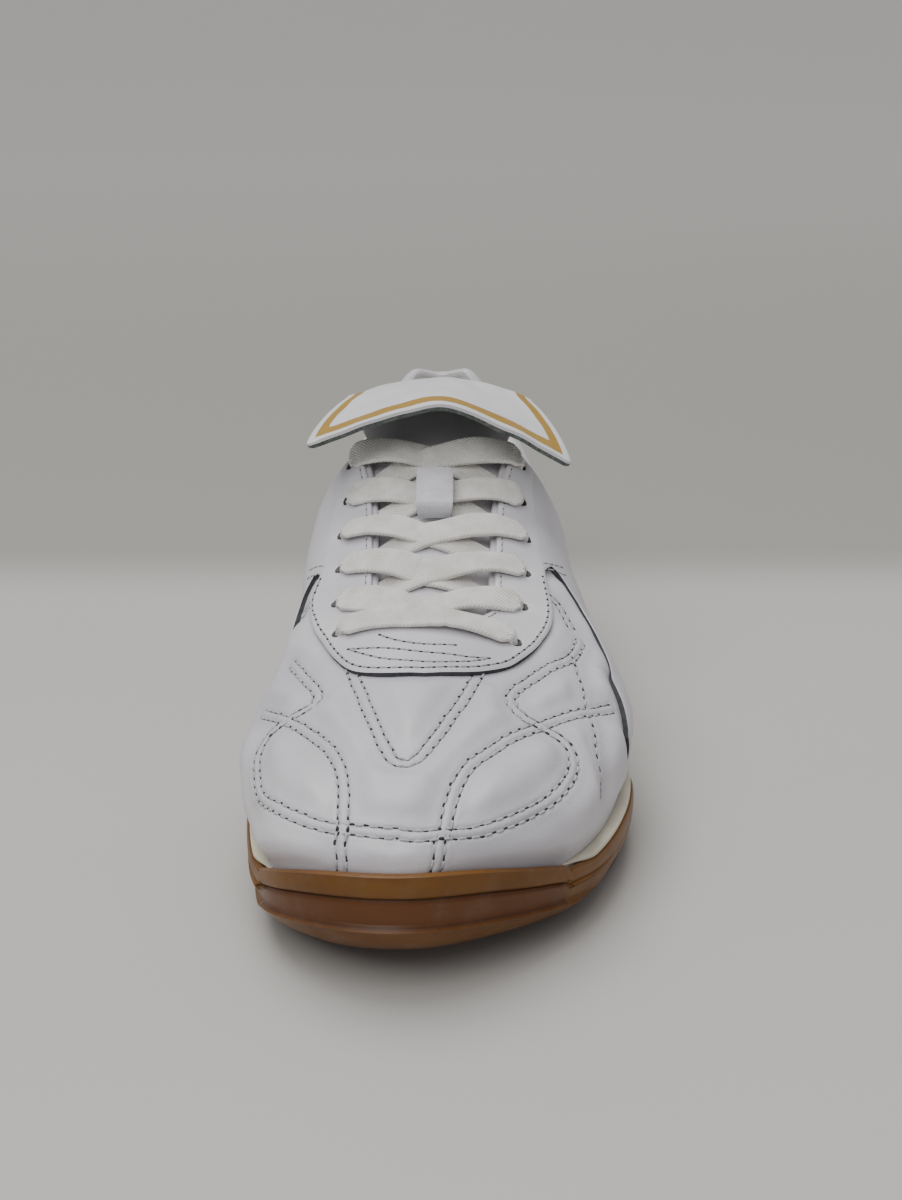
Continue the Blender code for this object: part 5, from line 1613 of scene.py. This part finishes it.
def build_keeper():
    """A webbing loop over the fourth crossing: its middle sheet with half the wall on each side."""
    t = np.linspace(0, 1, 70)
    at, height = blend(KEEPER["at"], t), blend(KEEPER["height"], t)
    share = np.concatenate([[-0.5, -0.49], np.linspace(-0.46, 0.46, 16), [0.49, 0.5]])
    middle = instep(at[:, None], share * KEEPER_WIDTH, height[:, None] + 0.0005)
    soft = 1 - 0.5 * bell(np.abs(share), 0.5, 0.012)
    half = normals_of(middle) * (KEEPER_WALL / 2 * soft)[:, None]
    outer, inner = middle + half, middle - half
    run = run_length(middle[:, 10])
    across = share * KEEPER_WIDTH + 0 * run[:, None]
    along = run[:, None] + 0 * share
    grids = [outer, inner] + [np.stack([outer[k], inner[k]]) for k in (0, -1)]
    grids += [np.stack([outer[:, k], inner[:, k]], 1) for k in (0, -1)]
    parts = [(grid, "keeper_webbing") for grid in grids]
    fields = {
        key: [grid, grid, grid[[0, 0]], grid[[-1, -1]], grid[:, [0, 0]], grid[:, [-1, -1]]]
        for key, grid in (("across", across), ("along", along))
    }
    return piece("keeper_strap", parts, ["lace_keeper"], fields)


# Stitches


def rows_of(tree, knots, apart):
    """The rows of stitches along a seam: one on the line, or two at half their distance on each side of
    it."""
    line = through(knots, ROW_STEP)
    out = lay_on(tree, line)[1]
    beside = unit(np.cross(unit(np.gradient(line, axis=0)), out))
    if not apart:
        return [line]
    return [line + beside * apart / 2, line - beside * apart / 2]


def sew(name, tree, rows, stitch, size=1.0):
    """Stitches along rows: a thread from each needle hole to the next, and at each end a dark oval of
    painted shade for the hole.

    A thread is a tube whose middle line is start + (end - start) * share, lifted by a flat arch over the
    leather. size scales the threads' thickness and the holes' width.
    """
    places, outs, runs, threads = [], [], [], []
    for row in rows:
        place, out = lay_on(tree, even_steps(row, stitch))
        places.append(place)
        outs.append(out)
        runs.append(unit(np.gradient(place, axis=0)))
        threads.append((place[:-1], place[1:], unit(out[:-1] + out[1:])))
    start, end, out = (np.concatenate(found) for found in zip(*threads))
    run = end - start
    beside = unit(np.cross(run, out))
    share, lift = np.array(THREAD_SHARES), np.array(THREAD_LIFTS) * MM
    turn = np.linspace(0, 2 * math.pi, 7)
    centre = start[:, None] + run[:, None] * share[:, None] + out[:, None] * lift[:, None]
    ring = beside[:, None, None] * np.cos(turn)[:, None] + out[:, None, None] * np.sin(turn)[:, None]
    thick = np.array(THREAD_THICK) * THREAD_HALF * size
    many(name + "_thread", centre[:, :, None] + ring * thick[:, None, None], "thread")
    # Painted shade: each needle hole is a dark oval laid just over the leather, not an opening
    place, out, run = np.concatenate(places), np.concatenate(outs), np.concatenate(runs)
    beside = unit(np.cross(run, out)) * HOLE_SIZE[1]
    turn = np.linspace(0, 2 * math.pi, 9)[:, None]
    spread = np.array([0.0, size, 0.0])[:, None, None]
    rise = np.array([0.07, 0.03, -0.20])[:, None, None] * MM
    oval = run[:, None, None] * HOLE_SIZE[0] * np.cos(turn) + beside[:, None, None] * np.sin(turn)
    many(name + "_hole_shades", place[:, None, None] + oval * spread + out[:, None, None] * rise, "needle_hole_shade")


def many(name, grids, material):
    """Many small closed grids as one piece."""
    piece(name, [(grid, material) for grid in grids], crease=180)


# The room


def build_room():
    """A wide pale floor with painted shade behind the shoe: its tone deepens there, as on paper that curves
    up into a wall, and lightens slowly further back.
    """
    across, along = np.linspace(-12, 12, 13), np.linspace(-4, 24, 15)
    grid = np.stack(np.meshgrid(across, along, indexing="ij") + [np.zeros((13, 15))], -1).reshape(-1, 3)
    data = bpy.data.meshes.new("floor")
    data.from_pydata(grid.tolist(), [], grid_faces(13, 15, 0)[:, ::-1].tolist())
    floor = bpy.data.objects.new("floor", data)
    bpy.context.scene.collection.objects.link(floor)
    tree, shader, where = finish_of("paper_floor", 0.75, specular=0.2)
    behind = add(tree, "ShaderNodeSeparateXYZ", {0: where}).outputs["Y"]
    pale = mixed(tree, noise(tree, where, 6.0, 3.0), rgb(196, 194, 189), rgb(190, 188, 183))
    # Painted shade: behind the shoe the floor darkens, lightening slowly further back, for a backdrop wall
    # that gets less light
    wall_shade = mixed(tree, mapped(tree, behind, 0.25, 1.6), rgb(160, 159, 153), rgb(178, 176, 171))
    tree.links.new(mixed(tree, mapped(tree, behind, 0.125, 0.19), pale, wall_shade), shader.inputs["Base Color"])
    data.materials.append(bpy.data.materials["paper_floor"])


def build_light():
    """A soft sun from above, behind and a little left, a weak wide panel in front, and an even grey
    sky."""
    world = bpy.data.worlds.new("room")
    bpy.context.scene.world = world
    world.use_nodes = True
    background = next(node for node in world.node_tree.nodes if node.type == "BACKGROUND")
    background.inputs["Color"].default_value = (0.97, 0.96, 1.0, 1)
    background.inputs["Strength"].default_value = SKY
    for name, kind, energy, place, target in LAMPS:
        data = bpy.data.lights.new(name, kind)
        data.energy = energy
        if kind == "SUN":
            data.angle = math.radians(SUN_ANGLE)
        else:
            data.size = PANEL_SIZE
        lamp = bpy.data.objects.new(name, data)
        lamp.location = place
        lamp.rotation_euler = (Vector(target) - Vector(place)).to_track_quat("-Z", "Y").to_euler()
        bpy.context.scene.collection.objects.link(lamp)


def build_camera():
    """The photograph's place and angle, looking down and barely turned."""
    data = bpy.data.cameras.new("camera")
    data.lens, data.sensor_width = LENS, LONG_SIDE
    data.clip_start, data.clip_end = 0.01, 50
    pitch, yaw, roll = (math.radians(angle) for angle in CAMERA_TURN)
    ahead = Vector((math.sin(yaw) * math.cos(pitch), math.cos(yaw) * math.cos(pitch), -math.sin(pitch)))
    right = Vector((math.cos(yaw), -math.sin(yaw), 0))
    up = right.cross(ahead)
    right, up = right * math.cos(roll) + up * math.sin(roll), up * math.cos(roll) - right * math.sin(roll)
    camera = bpy.data.objects.new("camera", data)
    matrix = Matrix((right, up, -ahead)).transposed().to_4x4()
    matrix.translation = CAMERA_PLACE
    camera.matrix_world = matrix
    bpy.context.scene.collection.objects.link(camera)
    bpy.context.scene.camera = camera


def on_wall(side, at, v):
    """A row of places on the quarter's outer face."""
    return wall_point(side, at, v) + wall_normal(side, at, v) * OVERLAY_TOP


def build_stitches(vamp, stay, quarter):
    """The seams of the vamp, of the eyestay and its throat, and of the quarters."""
    on_vamp, on_stay = surface_of(vamp), surface_of(stay)
    rows = [row for line in DOUBLE_ROWS for row in rows_of(on_vamp, line, ROW_APART)]
    sew("vamp_seams", on_vamp, rows + rows_of(on_vamp, SIDE_LINE, 0), STITCH)
    rows = [through(line, ROW_STEP, OVERLAY_TOP) for line in (LEAF_UP, LEAF_LOW, STAY_TOP_ROW)]
    at, across = stay_grid(150, np.array([0.0, 0.5, 1.0]))
    rim, middle, edge = (instep(at[:, k], across[:, k], OVERLAY_TOP) for k in (0, 1, 2))
    rows.append((edge + unit(middle - edge) * 0.0017)[at[:, 2] > 0.556])
    sew("eyestay_seams", on_stay, rows, FINE_STITCH, 0.85)
    beside = rim + unit(middle - rim) * 0.0015
    half = len(at) // 2
    sew("throat_seams", on_stay, [beside[4 : half - 40], beside[half + 41 : -4]], FINE_STITCH, 0.5)
    rows = [through(line, ROW_STEP, OVERLAY_TOP) for line in FAINT_ROWS]
    for side in (MEDIAL, LATERAL):
        at = np.linspace(0.012, 0.345, 90)
        rows.append(on_wall(side, at, 0.89 + 0 * at))
        v = np.linspace(0.08, 0.86, 50)
        rows.append(on_wall(side, 0.020 + 0.035 * v, v))
        v = np.linspace(0.06, 0.52, 50)
        sweep = 0.20 - 0.10 * (v / 0.6) ** 1.6
        rows += [on_wall(side, sweep, v), on_wall(side, sweep + 0.0096, v)]
    sew("quarter_seams", surface_of(quarter), rows, FINE_STITCH, 0.6)


def build_shoe():
    """Every piece of the shoe."""
    build_outsole()
    build_midsole()
    build_insole()
    build_collar()
    vamp = build_vamp()
    quarter = build_quarter()
    stay = build_eyestay()
    build_tongue()
    build_laces()
    build_keeper()
    build_stitches(vamp, stay, quarter)


build_finishes()
build_shoe()
build_room()
build_light()
build_camera()
